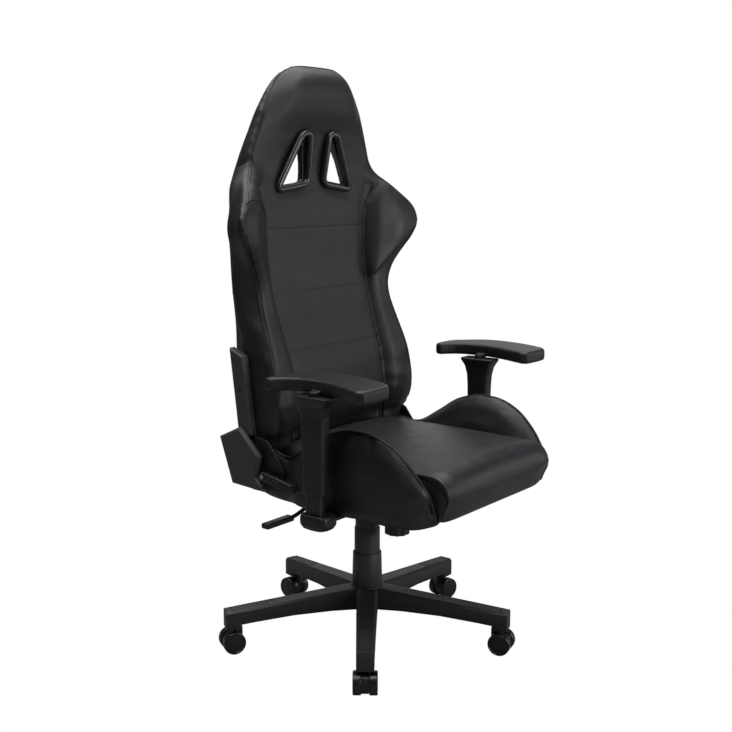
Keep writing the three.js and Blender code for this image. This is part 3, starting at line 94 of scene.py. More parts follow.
softbox("overhead_softbox", (-0.1, 0.1, 3.3), (0, 0, 0.5), (4.0, 3.8), 170)
softbox("front_softbox", (0.1, -3.6, 1.35), (0, 0, 0.85), (1.5, 1.5), 42)
softbox("right_softbox", (2.9, -2.4, 1.0), (0, 0, 0.6), (2.0, 1.6), 16)
softbox("left_softbox", (-3.3, 0.2, 2.4), (0, 0, 0.8), (2.0, 1.6), 3)
softbox("back_softbox", (2.9, 2.3, 1.6), (0, 0, 0.6), (3.2, 2.0), 14)


# Finishes. Scales are waves to the metre and depths metres; BAND_SCALE over a strand's millimetres gives each
# strand a band of the wave texture

PANEL_SEAMS = (932, 796, 672)
SEAM_HALF_WIDTH = 0.0016
TONE_DRIFT = 22.0
SLACK_WAVES = 9.0
FLOW_MARKS = 14.0
WEAR_MARKS = 40.0
PORES = 900.0
STREAKS = (420.0, 9.0, 420.0)
GRAIN_STRENGTH = 0.5
BAND_SCALE = 300


def linear(code):
    """An sRGB hex colour as linear red, green, blue and alpha"""
    values = [int(code[i:i + 2], 16) / 255 for i in (1, 3, 5)]
    return [v / 12.92 if v <= 0.04045 else ((v + 0.055) / 1.055) ** 2.4 for v in values] + [1]


def add_node(tree, kind, settings=(), **inputs):
    """A node with its settings and what goes into its sockets: a value, or another node's socket"""
    made = tree.nodes.new(kind)
    for key, value in dict(settings).items():
        setattr(made, key, value)
    for key, value in inputs.items():
        numbered = key[0] == "i" and key[1:].isdigit()
        socket = made.inputs[int(key[1:]) if numbered else key.replace("_", " ")]
        if isinstance(value, bpy.types.NodeSocket):
            tree.links.new(value, socket)
        else:
            socket.default_value = value
    return made


def new_finish(name):
    """An empty material, its tree, and the piece's own metres to lay patterns by"""
    material = bpy.data.materials.new(name)
    material.use_nodes = True
    tree = material.node_tree
    tree.nodes.clear()
    place = add_node(tree, "ShaderNodeTexCoord").outputs["Object"]
    return material, tree, place


def drifting(tree, pattern, colour, low_rough, high_rough):
    """Tone and roughness that drift together with a pattern, as wear and moulding leave them"""
    tone = add_node(tree, "ShaderNodeMix", {"data_type": "RGBA"}, i0=pattern,
                    i6=linear(colour[0]), i7=linear(colour[1]))
    gloss = add_node(tree, "ShaderNodeMapRange", Value=pattern, From_Min=0.3, From_Max=0.7,
                     To_Min=low_rough, To_Max=high_rough)
    return tone.outputs[2], gloss.outputs[0]


def close_finish(tree, **inputs):
    """The surface that takes up what was made"""
    shader = add_node(tree, "ShaderNodeBsdfPrincipled", **inputs)
    add_node(tree, "ShaderNodeOutputMaterial", Surface=shader.outputs["BSDF"])


def coated_leather(name, colour, low_rough, high_rough, grain_mm, grain_depth, panel_seams=()):
    """Pebbled grain, a slack waviness where it is stretched, gloss that drifts a little, sewn cross seams
    with painted shade in their grooves
    """
    material, tree, place = new_finish(name)
    pebbles = add_node(tree, "ShaderNodeTexVoronoi", {"feature": "SMOOTH_F1"}, Vector=place,
                       Scale=1000 / grain_mm)
    drift = add_node(tree, "ShaderNodeTexNoise", Vector=place, Scale=TONE_DRIFT, Detail=3.0)
    pores = add_node(tree, "ShaderNodeTexNoise", Vector=place, Scale=PORES, Detail=2.0)
    tone, gloss = drifting(tree, drift.outputs["Fac"], colour, low_rough, high_rough)
    height = add_node(tree, "ShaderNodeMath", {"operation": "ADD"}, i0=pebbles.outputs["Distance"],
                      i1=pores.outputs["Fac"])
    grain = add_node(tree, "ShaderNodeBump", Height=height.outputs[0], Distance=grain_depth,
                     Strength=GRAIN_STRENGTH)
    waves = add_node(tree, "ShaderNodeTexNoise", Vector=place, Scale=SLACK_WAVES, Detail=1.0)
    slack = add_node(tree, "ShaderNodeBump", Height=waves.outputs["Fac"], Distance=0.004, Strength=0.35,
                     Normal=grain.outputs[0])
    normal = slack.outputs[0]
    if panel_seams:
        up = add_node(tree, "ShaderNodeSeparateXYZ", Vector=place).outputs["Z"]
        shaded_groove = None
        for seam_height in panel_seams:
            off = add_node(tree, "ShaderNodeMath", {"operation": "SUBTRACT"}, i0=up, i1=seam_height * MM)
            off = add_node(tree, "ShaderNodeMath", {"operation": "ABSOLUTE"}, i0=off.outputs[0])
            line = add_node(tree, "ShaderNodeMapRange", {"interpolation_type": "SMOOTHSTEP"},
                            Value=off.outputs[0], From_Max=SEAM_HALF_WIDTH).outputs[0]
            shaded_groove = line if shaded_groove is None else add_node(
                tree, "ShaderNodeMath", {"operation": "MULTIPLY"}, i0=shaded_groove, i1=line).outputs[0]
        normal = add_node(tree, "ShaderNodeBump", Height=shaded_groove, Distance=0.0006, Strength=0.6,
                          Normal=normal).outputs[0]
        # Painted shade: the tone darkens to near black along each cross seam's groove
        tone = add_node(tree, "ShaderNodeMix", {"data_type": "RGBA"}, i0=shaded_groove, i6=linear("#0a0a0c"),
                        i7=tone).outputs[2]
    close_finish(tree, Base_Color=tone, Roughness=gloss, Normal=normal, IOR=1.5, Specular_IOR_Level=0.5)
    return material


def moulded(name, colour, rough, grain_mm, grain_depth, coat=0.0):
    """Moulded plastic: an even spark-eroded grain with faint flow tones and worn-in gloss"""
    material, tree, place = new_finish(name)
    grain = add_node(tree, "ShaderNodeTexNoise", Vector=place, Scale=1000 / grain_mm, Detail=3.0,
                     Roughness=0.6)
    flow = add_node(tree, "ShaderNodeTexNoise", Vector=place, Scale=FLOW_MARKS, Detail=2.0)
    tone, gloss = drifting(tree, flow.outputs["Fac"], colour, rough - 0.05, rough + 0.05)
    bump = add_node(tree, "ShaderNodeBump", Height=grain.outputs["Fac"], Distance=grain_depth,
                    Strength=GRAIN_STRENGTH)
    close_finish(tree, Base_Color=tone, Roughness=gloss, Normal=bump.outputs[0], IOR=1.49,
                 Coat_Weight=coat, Coat_Roughness=0.15)
    return material


def streaked_pad(name, colour):
    """Skinned foam of an arm pad: long shallow streaks run along it, its skin satin"""
    material, tree, place = new_finish(name)
    long_way = add_node(tree, "ShaderNodeMapping", Vector=place, Scale=STREAKS)
    streak = add_node(tree, "ShaderNodeTexNoise", Vector=long_way.outputs[0], Scale=1.0, Detail=4.0,
                      Roughness=0.65)
    tone, gloss = drifting(tree, streak.outputs["Fac"], colour, 0.38, 0.56)
    bump = add_node(tree, "ShaderNodeBump", Height=streak.outputs["Fac"], Distance=0.0006,
                    Strength=GRAIN_STRENGTH)
    close_finish(tree, Base_Color=tone, Roughness=gloss, Normal=bump.outputs[0], IOR=1.5)
    return material


def coated_steel(name, colour, rough, metal, speck_mm):
    """Steel: powder coat with orange peel where metal is 0, drawn and ground bright where it is 1"""
    material, tree, place = new_finish(name)
    peel = add_node(tree, "ShaderNodeTexNoise", Vector=place, Scale=1000 / speck_mm, Detail=2.0)
    wear = add_node(tree, "ShaderNodeTexNoise", Vector=place, Scale=WEAR_MARKS, Detail=3.0)
    tone, gloss = drifting(tree, wear.outputs["Fac"], colour, rough - 0.06, rough + 0.06)
    bump = add_node(tree, "ShaderNodeBump", Height=peel.outputs["Fac"], Distance=0.0003, Strength=0.4)
    close_finish(tree, Base_Color=tone, Roughness=gloss, Metallic=metal, Normal=bump.outputs[0])
    return material


def woven(name, colour, thread_mm, shine=0.5, sheen=0.2):
    """Woven elastic or sewn thread: crossed strands, each the width of one band of the wave texture"""
    material, tree, place = new_finish(name)
    across, along = (add_node(tree, "ShaderNodeTexWave", {"bands_direction": way}, Vector=place,
                              Scale=BAND_SCALE / thread_mm) for way in "XY")
    cross = add_node(tree, "ShaderNodeMath", {"operation": "MULTIPLY"}, i0=across.outputs["Fac"],
                     i1=along.outputs["Fac"])
    tone = add_node(tree, "ShaderNodeMix", {"data_type": "RGBA"}, i0=cross.outputs[0],
                    i6=linear(colour[0]), i7=linear(colour[1]))
    bump = add_node(tree, "ShaderNodeBump", Height=cross.outputs[0], Distance=0.0008, Strength=0.6)
    close_finish(tree, Base_Color=tone.outputs[2], Roughness=0.85, Normal=bump.outputs[0],
                 Specular_IOR_Level=shine, Sheen_Weight=sheen)
    return material


# Polyurethane-coated leather, embossed in a roller: soft broad sheen, broken by pebbles. The real ones are
# about 1 mm apart and are drawn at 1.8 mm, so that they show
leather = coated_leather("coated_leather", ("#0f1014", "#15171c"), 0.42, 0.52, 1.8, 0.00025)
# The same leather in the centre panel, greyer and flatter, its finer emboss drawn at 1.4 mm
panel_leather = coated_leather("panel_leather", ("#121316", "#191b1e"), 0.44, 0.54, 1.4, 0.0005, PANEL_SEAMS)
# The same leather pulled tight round a cord, its pebbles stretched flat, drawn at 1.2 mm
# Drawn nearly black, darker than the cover: painted shade of the gap along the piping
shaded_piping_leather = coated_leather("shaded_piping_leather", ("#08080a", "#0d0d0f"), 0.42, 0.52, 1.2, 0.0003)
# Bonded polyester thread: a black line that hardly shines, its 0.4 mm twist drawn at 0.8 mm
thread = woven("bonded_thread", ("#030304", "#070708"), 0.8, 0.08, 0.0)
# Glass-filled nylon of the base: a satin, slightly grey black, its etched grain drawn at 1.2 mm
nylon = moulded("glass_filled_nylon", ("#1d1e1e", "#252626"), 0.5, 1.2, 0.0006)
# Polyamide of the hinge covers: an etched texture, drawn at 1.6 mm, that scatters light and so looks greyer
bracket_plastic = moulded("textured_polyamide", ("#2e2f33", "#37383c"), 0.5, 1.6, 0.0008)
# Nylon of the foot pads: a hide-like grain as coarse as the real one, dull so that feet don't slip
grip_nylon = moulded("coarse_grained_nylon", ("#191a1b", "#222324"), 0.6, 3.2, 0.002)
# Polypropylene of the arm sleeves: waxy, dark, its fine etched grain drawn at 1 mm
housing_plastic = moulded("moulded_polypropylene", ("#0d0e0f", "#131415"), 0.44, 1.0, 0.0004)
# Polypropylene of the column covers: its glass fibres turn it a dusty grey, its grain is drawn at 1 mm
column_plastic = moulded("glass_filled_polypropylene", ("#2e3032", "#37393b"), 0.45, 1.0, 0.0004)
# ABS of the bezels, from a polished tool: clear highlights over a faint 2.5 mm ripple
# Its tone, lighter than the leather, is partly its own and partly painted highlight on the rims and linings
gloss_plastic = moulded("glossy_abs", ("#18191c", "#1f2023"), 0.27, 2.5, 0.0001, coat=0.4)
# Nylon of the caster wheels, from a smooth tool: near black, an oily shine over a faint 2 mm ripple
wheel_plastic = moulded("caster_nylon", ("#0e0e10", "#141416"), 0.3, 2.0, 0.0002, coat=0.15)
# ABS of the arm triggers: black and satin, its fine etched grain drawn at 1 mm
trigger_plastic = moulded("satin_abs", ("#0c0c0d", "#121213"), 0.5, 1.0, 0.0003)
# Polyurethane foam of the arm pads, skinned in the mould: satin, streaked lengthways every few millimetres
pad_skin = streaked_pad("skinned_polyurethane", ("#0b0b0d", "#18181b"))
# Powder-coated steel: even satin black with orange peel, a ripple every 1.5 mm
black_steel = coated_steel("powder_coated_steel", ("#0f1011", "#161718"), 0.42, 0.0, 1.5)
# Bright steel of rod, taper and screws, its grinding marks drawn at 0.6 mm
bright_steel = coated_steel("ground_steel", ("#a9abb0", "#c4c6ca"), 0.24, 1.0, 0.6)
# Elastic webbing woven of rubber cores and polyester: matt, ribbed every 1.6 mm
webbing = woven("elastic_webbing", ("#0e0e0f", "#1a1a1c"), 1.6)

SLOT_FINISH = {
    "base_nylon": nylon, "cover_plastic": housing_plastic, "lever_plastic": housing_plastic,
    "caster_plastic": wheel_plastic, "wheel_nylon": wheel_plastic, "black_steel": black_steel,
    "bright_steel": bright_steel, "seat_leather": leather, "panel_leather": panel_leather,
    "bezel_plastic": gloss_plastic, "pad_rubber": pad_skin, "webbing": webbing,
}
for node, slot in SLOT.items():
    cad_mesh = nodes[node].data
    cad_mesh.materials.clear()
    cad_mesh.materials.append(SLOT_FINISH[slot])


# Modelling helpers

HARD_EDGE = 35
TOP_FACING = 0.9


def select_only(piece):
    """The piece alone is selected and active"""
    bpy.ops.object.select_all(action="DESELECT")
    piece.select_set(True)
    bpy.context.view_layer.objects.active = piece


def apply_modifier(piece, name, kind, **settings):
    """A modifier with its settings, made part of the mesh"""
    modifier = piece.modifiers.new(name, kind)
    for key, value in settings.items():
        setattr(modifier, key, value)
    select_only(piece)
    bpy.ops.object.modifier_apply(modifier=modifier.name)


def copy_of(name, node):
    """The frame's own solid as a separate, merged mesh"""
    piece = bpy.data.objects.new(name, nodes[node].data.copy())
    bpy.context.scene.collection.objects.link(piece)
    select_only(piece)
    bpy.ops.object.mode_set(mode="EDIT")
    bpy.ops.mesh.select_all(action="SELECT")
    bpy.ops.mesh.remove_doubles(threshold=0.00002)
    bpy.ops.mesh.normals_make_consistent(inside=False)
    bpy.ops.object.mode_set(mode="OBJECT")
    return piece


def finish_piece(piece, material, body, smooth_angle=None, replaced=()):
    """Its look, its body and the frame's solids it stands for"""
    if material:
        piece.data.materials.clear()
        piece.data.materials.append(material)
    select_only(piece)
    if smooth_angle is None:
        bpy.ops.object.shade_smooth()
    else:
        bpy.ops.object.shade_smooth_by_angle(angle=math.radians(smooth_angle))
    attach(piece, body)
    if replaced:
        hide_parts(*replaced)


def soften(piece, voxel, rounds):
    """Skin of even small faces, relaxed until the facets are gone"""
    apply_modifier(piece, "skin", "REMESH", mode="VOXEL", voxel_size=voxel * MM)
    apply_modifier(piece, "relax", "SMOOTH", factor=0.5, iterations=rounds)


CLOTH_FRAMES = 12
SLACK_SHARE = 0.6
CLOTH_STIFFNESS = 25


def puff(piece, pressure, cap):
    """Foam pushing its cover out: cloth under pressure, each point held within cap mm of where it was"""
    mesh = piece.data
    before = [v.co.copy() for v in mesh.vertices]
    mesh.update()
    for vertex in mesh.vertices:
        vertex.co -= vertex.normal * cap * MM * SLACK_SHARE
    cloth = piece.modifiers.new("cover", "CLOTH")
    cloth.settings.quality = 4
    cloth.settings.use_pressure = True
    cloth.settings.uniform_pressure_force = pressure
    cloth.settings.tension_stiffness = CLOTH_STIFFNESS
    cloth.settings.compression_stiffness = CLOTH_STIFFNESS
    cloth.settings.effector_weights.gravity = 0
    cloth.collision_settings.use_collision = False
    scene = bpy.context.scene
    for number in range(CLOTH_FRAMES):
        scene.frame_set(number + 1)
    select_only(piece)
    bpy.ops.object.modifier_apply(modifier=cloth.name)
    scene.frame_set(1)
    for vertex, start_place in zip(mesh.vertices, before):
        move = vertex.co - start_place
        if move.length > cap * MM:
            vertex.co = start_place + move.normalized() * cap * MM


def drawn_over(piece, voxel, rounds, pressure, cap, calm):
    """A solid made a cover over foam: softened, puffed, its wrinkles calmed, its skin made fine"""
    soften(piece, voxel, rounds)
    puff(piece, pressure, cap)
    apply_modifier(piece, "relax", "SMOOTH", factor=0.5, iterations=calm)
    apply_modifier(piece, "fine", "SUBSURF", levels=1, render_levels=1)


def reshape(piece, push):
    """Each point moves by push(its place in mm from the lift's axis, its normal)

    push gives the millimetres to move outward, or a vector of them.
    """
    mesh = piece.data
    mesh.update()
    moves = []
    for vertex in mesh.vertices:
        place = (vertex.co - axis_place) / MM
        move = push(place, vertex.normal)
        moves.append((move if isinstance(move, Vector) else vertex.normal * move) * MM)
    for vertex, move in zip(mesh.vertices, moves):
        vertex.co += move
    mesh.update()


def settle(piece, places, proud):
    """A path laid on a piece's surface or a little above it, its unevenness averaged out"""
    laid = []
    for place in places:
        _, spot, normal, _ = piece.closest_point_on_mesh(place)
        laid.append(spot + normal * proud * MM)
    for _ in range(3):
        laid = [laid[0]] + [(a + b * 2 + c) / 4 for a, b, c in zip(laid, laid[1:], laid[2:])] + [laid[-1]]
    return laid


def cord_along(name, places, radius, material, body, sides=2, closed=False):
    """A round cord through places: piping or thread"""
    curve = bpy.data.curves.new(name, "CURVE")
    curve.dimensions = "3D"
    curve.bevel_depth = radius * MM
    curve.bevel_resolution = sides
    curve.use_fill_caps = True
    spline = curve.splines.new("POLY")
    spline.points.add(len(places) - 1)
    for point, place in zip(spline.points, places):
        point.co = (*place, 1)
    spline.use_cyclic_u = closed
    piece = bpy.data.objects.new(name, curve)
    bpy.context.scene.collection.objects.link(piece)
    select_only(piece)
    bpy.ops.object.convert(target="MESH")
    finish_piece(bpy.context.view_layer.objects.active, material, body)


def smooth_path(places, steps):
    """Points on a smooth curve through the given ones"""
    path = []
    for i in range(len(places) - 1):
        before = places[max(i - 1, 0)]
        start, end = places[i], places[i + 1]
        after = places[min(i + 2, len(places) - 1)]
        for number in range(steps):
            t = number / steps
            path.append(0.5 * ((2 * start) + (end - before) * t
                               + (2 * before - 5 * start + 4 * end - after) * t * t
                               + (3 * start - before - 3 * end + after) * t ** 3))
    path.append(places[-1])
    return path


def distance_to_path(place, path):
    """To the nearest point of the path's straight pieces"""
    nearest = 1e9
    for start, end in zip(path, path[1:]):
        along = end - start
        share = max(0.0, min(1.0, (place - start).dot(along) / along.length_squared))
        nearest = min(nearest, (start + along * share - place).length)
    return nearest


def reading(rows, at_value):
    """Straight-line reading of rows of (position, value)"""
    if at_value <= rows[0][0]:
        return rows[0][1]
    for (start, first), (end, second) in zip(rows, rows[1:]):
        if at_value <= end:
            return first + (second - first) * (at_value - start) / (end - start)
    return rows[-1][1]


def step(value, start, end):
    """0 before start, 1 past end, smooth between"""
    share = max(0.0, min(1.0, (value - start) / (end - start)))
    return share * share * (3 - 2 * share)


def hill(off, width):
    """1 at its middle, fading out over about twice the width"""
    return math.exp(-(off / width) ** 2)


def eased(name, node, width, material=None):
    """The frame's own solid with its edges rounded, as they leave the mould or the press"""
    piece = copy_of(name, node)
    bpy.ops.object.mode_set(mode="EDIT")
    bpy.ops.mesh.select_all(action="SELECT")
    bpy.ops.mesh.dissolve_limited(angle_limit=math.radians(0.6))
    bpy.ops.object.mode_set(mode="OBJECT")
    apply_modifier(piece, "ease", "BEVEL", width=width * MM, segments=2, limit_method="ANGLE",
                   angle_limit=math.radians(30))
    finish_piece(piece, material or SLOT_FINISH[SLOT[node]], HOME[node], smooth_angle=HARD_EDGE,
                 replaced=[node])
    return piece


def select_top(piece):
    """In edit mode, the faces that look up along z"""
    mesh = bmesh.from_edit_mesh(piece.data)
    for face in mesh.faces:
        face.select = face.normal.z > TOP_FACING
    bmesh.update_edit_mesh(piece.data)


def facing(place, out):
    """The move of a mesh made at the origin along z to a place, its z turned to out"""
    return Matrix.Translation(place) @ UP.rotation_difference(out).to_matrix().to_4x4()


def level_way(start, end):
    """The level direction from one place to another"""
    way = end - start
    way.z = 0
    return way.normalized()


# Seat cushion: rolled front, crowned top, its cover sewn along the front corners

SEAT_REAR_FILL = 5
SEAT_REAR_REACH = 13
LIP_FILL = 2.5
SAT_ON_WAVES = 1.6
EDGE_ROUND = 17
ROUNDEST = 0.7
CORNER_TUCK = 1.2
CORNER_SEAM = ((205, 40, 462), (207, -120, 468), (207, -230, 468), (206, -290, 460), (205, -330, 445),
               (203, -352, 420), (201, -354, 395), (199, -346, 374))
seat = copy_of("seat_cushion_cover", "seat_cushion")
drawn_over(seat, voxel=6, rounds=6, pressure=3, cap=2, calm=3)


def seat_shape(place, normal):
    """Fuller behind and under the lip, slack where it is sat on, its rear end drawn in under the back"""
    push = SEAT_REAR_FILL * step(place.y, 20, 80) * step(place.z, 430, 470)
    push += LIP_FILL * step(-place.z, -395, -374) * step(-place.y, 150, 300)
    waves = noise.noise(Vector((place.x * 0.03, place.y * 0.012, 3.1)))
    push += SAT_ON_WAVES * waves * step(place.y, -40, 60) * step(normal.z, 0.2, 0.8)
    reach = SEAT_REAR_REACH * step(place.y, 30, 95) * step(place.z, 410, 440)
    return normal * push + Vector((0, reach, 0))


def squarer(place, normal):
    """The cover's side panels are flat and meet the top and the rolled front in a sewn edge"""
    across = abs(normal.x)
    along = math.hypot(normal.y, normal.z)
    live = step(-place.y, 40, 170) * step(place.z, 366, 384) * step(abs(place.x), 150, 180)
    push = EDGE_ROUND * (1 / max(across, along, ROUNDEST) - 1)
    square = Vector((math.copysign(push * across, place.x), push * normal.y, push * normal.z)) * live
    tucked = step(-place.z, -425, -385) * step(-place.y, 290, 340) * step(abs(place.x), 140, 195)
    return square + Vector((math.copysign(-4 * tucked, place.x), 3 * tucked, 0))


reshape(seat, seat_shape)
reshape(seat, squarer)
corner_paths = {}
for _, side in SIDES:
    corner_paths[side] = smooth_path([at(side * wide, rear, up) for wide, rear, up in CORNER_SEAM], 6)


def corner_tuck(place, normal):
    """The thread pulls the cover in along its corner seams"""
    spot = axis_place + place * MM
    away = distance_to_path(spot, corner_paths[1 if place.x > 0 else -1]) / MM
    return -CORNER_TUCK * hill(away, 4) if away < 32 else 0


reshape(seat, corner_tuck)
finish_piece(seat, leather, "seat", replaced=["seat_cushion"])
for side_name, side in SIDES:
    cord_along(f"seat_corner_seam_{side_name}", settle(seat, corner_paths[side], 0.0), 0.9, thread,
               "seat")

# Seat wings, their ridge piped, puckered and sewn. The ridge is back, up and sideways in millimetres

RIDGE = ((-352, 376, 222), (-350, 392, 224), (-347, 410, 226), (-306, 466, 235), (-262, 510, 239),
         (-238, 528, 241), (-200, 541, 243), (-160, 546, 244), (-125, 541, 244), (-90, 531, 244),
         (-55, 512, 244), (-24, 490, 244), (18, 466, 240), (45, 454, 232), (72, 442, 228))
FRONT_INWARD = 14
FRONT_BACKWARD = 21
REAR_REACH = 38
WING_FILL = 1.2
BELLY_FILL = 5
PUCKER = 0.7
SLACK = 1.2


def wing_ends(place, side):
    """The wing's front end is sewn in to the cushion, its rear end reaches back to the hinge"""
    front = step(-place.y, 270, 340) * step(-place.z, -450, -390)
    rear = step(place.y, 20, 72) * step(-place.z, -480, -450)
    lifted = REAR_REACH * rear * step(place.z, 400, 440)
    return Vector((-FRONT_INWARD * side * front, FRONT_BACKWARD * front + REAR_REACH * rear, lifted))


for side_name, side in SIDES:
    wing = copy_of(f"seat_wing_cover_{side_name}", f"seat_wing_{side_name}")
    drawn_over(wing, voxel=6, rounds=5, pressure=3, cap=1.5, calm=2)
    ridge = []
    for rear, up, wide in RIDGE:
        spot = Vector((side * wide, rear, up))
        ridge.append(at(*(spot + wing_ends(spot, side))))
    ridge = smooth_path(ridge, 5)

    def wing_shape(place, normal, ridge=ridge, side=side):
        """Puckers where the piping pulls the cover, a fuller belly, slack waves low down"""
        away = distance_to_path(axis_place + place * MM, ridge) / MM
        gathered = PUCKER * math.exp(-away / 14) * math.sin(place.y / 7.5 + 2.2 * math.sin(place.y / 31))
        waves = noise.noise(Vector((place.y * 0.014, place.z * 0.03, side * 2.0)))
        return (WING_FILL + BELLY_FILL * step(-place.z, -400, -372) + gathered * (away < 42)
                + SLACK * waves * step(away, 20, 60))

    reshape(wing, lambda place, normal, side=side: wing_ends(place, side))
    reshape(wing, wing_shape)
    finish_piece(wing, leather, "seat", replaced=[f"seat_wing_{side_name}"])
    cord_along(f"seat_wing_piping_{side_name}", settle(wing, ridge, 0.9), 2.3, shaded_piping_leather,
               "seat", sides=3)
    sewn = [spot + Vector((side * 7 * MM, 0, -3 * MM)) for spot in ridge]
    cord_along(f"seat_wing_stitching_{side_name}", settle(wing, sewn, 0.1), 0.6, thread, "seat")

# Back: one cover over centre cushion and bolsters, sewn along the seams between them. The edge is up from
# the foot, sideways and back; the panel's side and face are sideways and back at a height; all millimetres

FOOT = 466
EDGE = ((54, 232, 56), (73, 241, 48), (108, 243, 46), (168, 244, 57), (228, 238, 80), (288, 231, 105),
        (328, 229, 115), (358, 238, 113), (388, 257, 104), (413, 277, 94), (438, 293, 84), (468, 305, 80),
        (498, 299, 84), (528, 281, 96), (558, 255, 117), (583, 225, 141), (603, 212, 150), (638, 202, 152),
        (678, 186, 150), (718, 170, 149), (758, 148, 150), (786, 128, 152), (804, 105, 150), (814, 88, 148))
PANEL_SIDE = ((470, 157), (560, 158), (644, 160), (694, 161), (744, 163), (794, 165), (844, 168), (894, 171),
              (944, 173), (980, 180), (1010, 196), (1040, 222), (1056, 240))
PANEL_FACE = ((470, 70), (560, 72), (644, 86), (694, 103), (744, 121), (794, 134), (844, 142), (894, 147),
              (944, 146), (980, 146), (1010, 143), (1040, 139), (1056, 138))
PANEL_TOP = 1050
HEAD_SIDE = [(FOOT + up, wide - 6) for up, wide, _ in EDGE]
COVER_OVERLAP = 0.5

back = copy_of("back_cover", "back_cushion")
joined = [back]
for side_name, _ in SIDES:
    joined.append(copy_of(f"back_share_{side_name}", f"back_bolster_{side_name}"))
for cover in joined:
    reshape(cover, lambda place, normal: COVER_OVERLAP)
bpy.ops.object.select_all(action="DESELECT")
for cover in joined:
    cover.select_set(True)
bpy.context.view_layer.objects.active = back
bpy.ops.object.join()
drawn_over(back, voxel=8, rounds=5, pressure=2, cap=1.5, calm=2)

# Sewn folds over the front: the near one over the shoulder wing, the far one straight and sharp, and one on
# each side of the neck
NEAR_FOLD = ((-284, 94, 988), (-258, 105, 992), (-232, 117, 980), (-208, 128, 964), (-188, 138, 940),
             (-175, 146, 900))
FAR_FOLD = ((302, 82, 942), (262, 96, 902), (215, 116, 854), (168, 136, 802))
NECK_FOLD = ((214, 196, 1062), (212, 170, 1072), (207, 151, 1080), (196, 149, 1074), (184, 151, 1062))
near_fold = smooth_path([at(*spot) for spot in NEAR_FOLD], 6)
far_fold = smooth_path([at(*spot) for spot in FAR_FOLD], 6)
neck_folds = []
for _, side in SIDES:
    neck_folds.append(smooth_path([at(side * wide, rear, up) for wide, rear, up in NECK_FOLD], 6))

COVER_FILL = 1.2
FOOT_DROP = 11
FOOT_DROP_SIDES = 17
REAR_DRAWN_IN = 11
TIP_FILL = 7
TIP_REACH = 297
FOLD_HEIGHT = 11
FOLD_RISE = 140
FOLD_RUN = 134


def back_body(place, normal):
    """The foot let down to the seat, the rear drawn in beside the shoulder, all a little fuller"""
    foot = FOOT_DROP + FOOT_DROP_SIDES * step(abs(place.x), 110, 160)
    push = COVER_FILL + foot * step(-place.z, -500, -FOOT) * step(-normal.z, 0.1, 0.8)
    rear = step(place.y, 95, 190) * step(abs(place.x), 110, 200) * step(normal.y, -0.4, 0.5)
    push -= REAR_DRAWN_IN * rear * step(place.z, 480, 740) * (1 - step(place.z, 960, 1030))
    return push


def wing_tip(place, normal):
    """The shoulder wing's tip is full and round"""
    side = 1 if place.x > 0 else -1
    near = hill(place.z - 942, 42) * step(abs(place.x), 225, 290)
    over = max(0, abs(place.x) - TIP_REACH)
    return Vector((side * (TIP_FILL * near - 0.4 * over), 0, 0))


def back_seams(place, normal):
    """Seams pull the cover in and foam swells beside them; folds over shoulders and neck, slack bolsters"""
    if normal.y > 0.35:
        return 0
    push = 0
    side = abs(place.x) - reading(PANEL_SIDE, place.z)
    if abs(side) < 60:
        live = 1 - step(place.z, PANEL_TOP - 60, PANEL_TOP)
        push += live * (1.4 * hill(side - 22, 16) + 0.8 * hill(side + 22, 16) - 2.4 * hill(side, 5))
    if side < 0 and place.z < PANEL_TOP:
        push -= sum(0.5 * hill(place.z - seam, 5) for seam in PANEL_SEAMS)
    spot = axis_place + place * MM
    if 880 < place.z < 1010 and place.x < 0:
        away = distance_to_path(spot, near_fold) / MM
        live = 1 - step(-place.x, 225, 262)
        push += live * (1.5 * hill(away - 10, 8) - 2.5 * hill(away, 5))
    if 760 < place.z < 1030 and place.x > 150:
        away = distance_to_path(spot, far_fold) / MM
        over = place.z - 802 - (place.x - 168) * FOLD_RISE / FOLD_RUN
        live = step(place.x, 165, 185) * (1 - step(place.x, 285, 312)) * (1 - step(place.z, 960, 1025))
        push += FOLD_HEIGHT * live * (math.exp(-away / 40) if over > 0 else math.exp(-away / 5))
    if 1035 < place.z < 1105:
        away = distance_to_path(spot, neck_folds[0 if place.x > 0 else 1]) / MM
        push -= 2.2 * hill(away, 6)
    if 480 < place.z < 700 and side > 0:
        live = math.sin(math.pi * (place.z - 480) / 220)
        push += 1.8 * live * noise.noise(Vector((place.x * 0.012, place.y * 0.012, place.z * 0.055)))
    return push


HOLE_CENTRE = (66, 1066)
HOLE_FLARE = 9


def hole_flare(place, normal):
    """The harness holes widen toward the rear"""
    side = 1 if place.x > 0 else -1
    off = Vector((place.x - side * HOLE_CENTRE[0], 0, place.z - HOLE_CENTRE[1]))
    if off.length < 1 or off.length > 120:
        return 0
    behind = step(place.y, 140, 185)
    near = 1 - step(off.length, 75, 115)
    apart = step(abs(place.x), 4, 34)
    return off.normalized() * HOLE_FLARE * behind * near * apart


for change in (back_body, wing_tip, back_seams, hole_flare):
    reshape(back, change)

# The panel's faces, inside the seams, take its own leather
back.data.materials.clear()
back.data.materials.append(leather)
back.data.materials.append(panel_leather)
for face in back.data.polygons:
    middle = (face.center - axis_place) / MM
    inside = abs(middle.x) < min(reading(PANEL_SIDE, middle.z), reading(HEAD_SIDE, middle.z))
    face.material_index = 1 if inside and face.normal.y < 0.2 else 0
finish_piece(back, None, "back",
             replaced=["back_cushion", "back_bolster_left", "back_bolster_right"])


def edge_path(inward, forward, crown):
    """The cover's edge up one side, over the crown and down the other, drawn in by so many millimetres"""
    left = [at(wide - inward, rear - forward, FOOT + up) for up, wide, rear in EDGE]
    right = [at(-wide + inward, rear - forward, FOOT + up) for up, wide, rear in EDGE]
    return smooth_path(left + [at(*spot) for spot in crown] + right[::-1], 5)


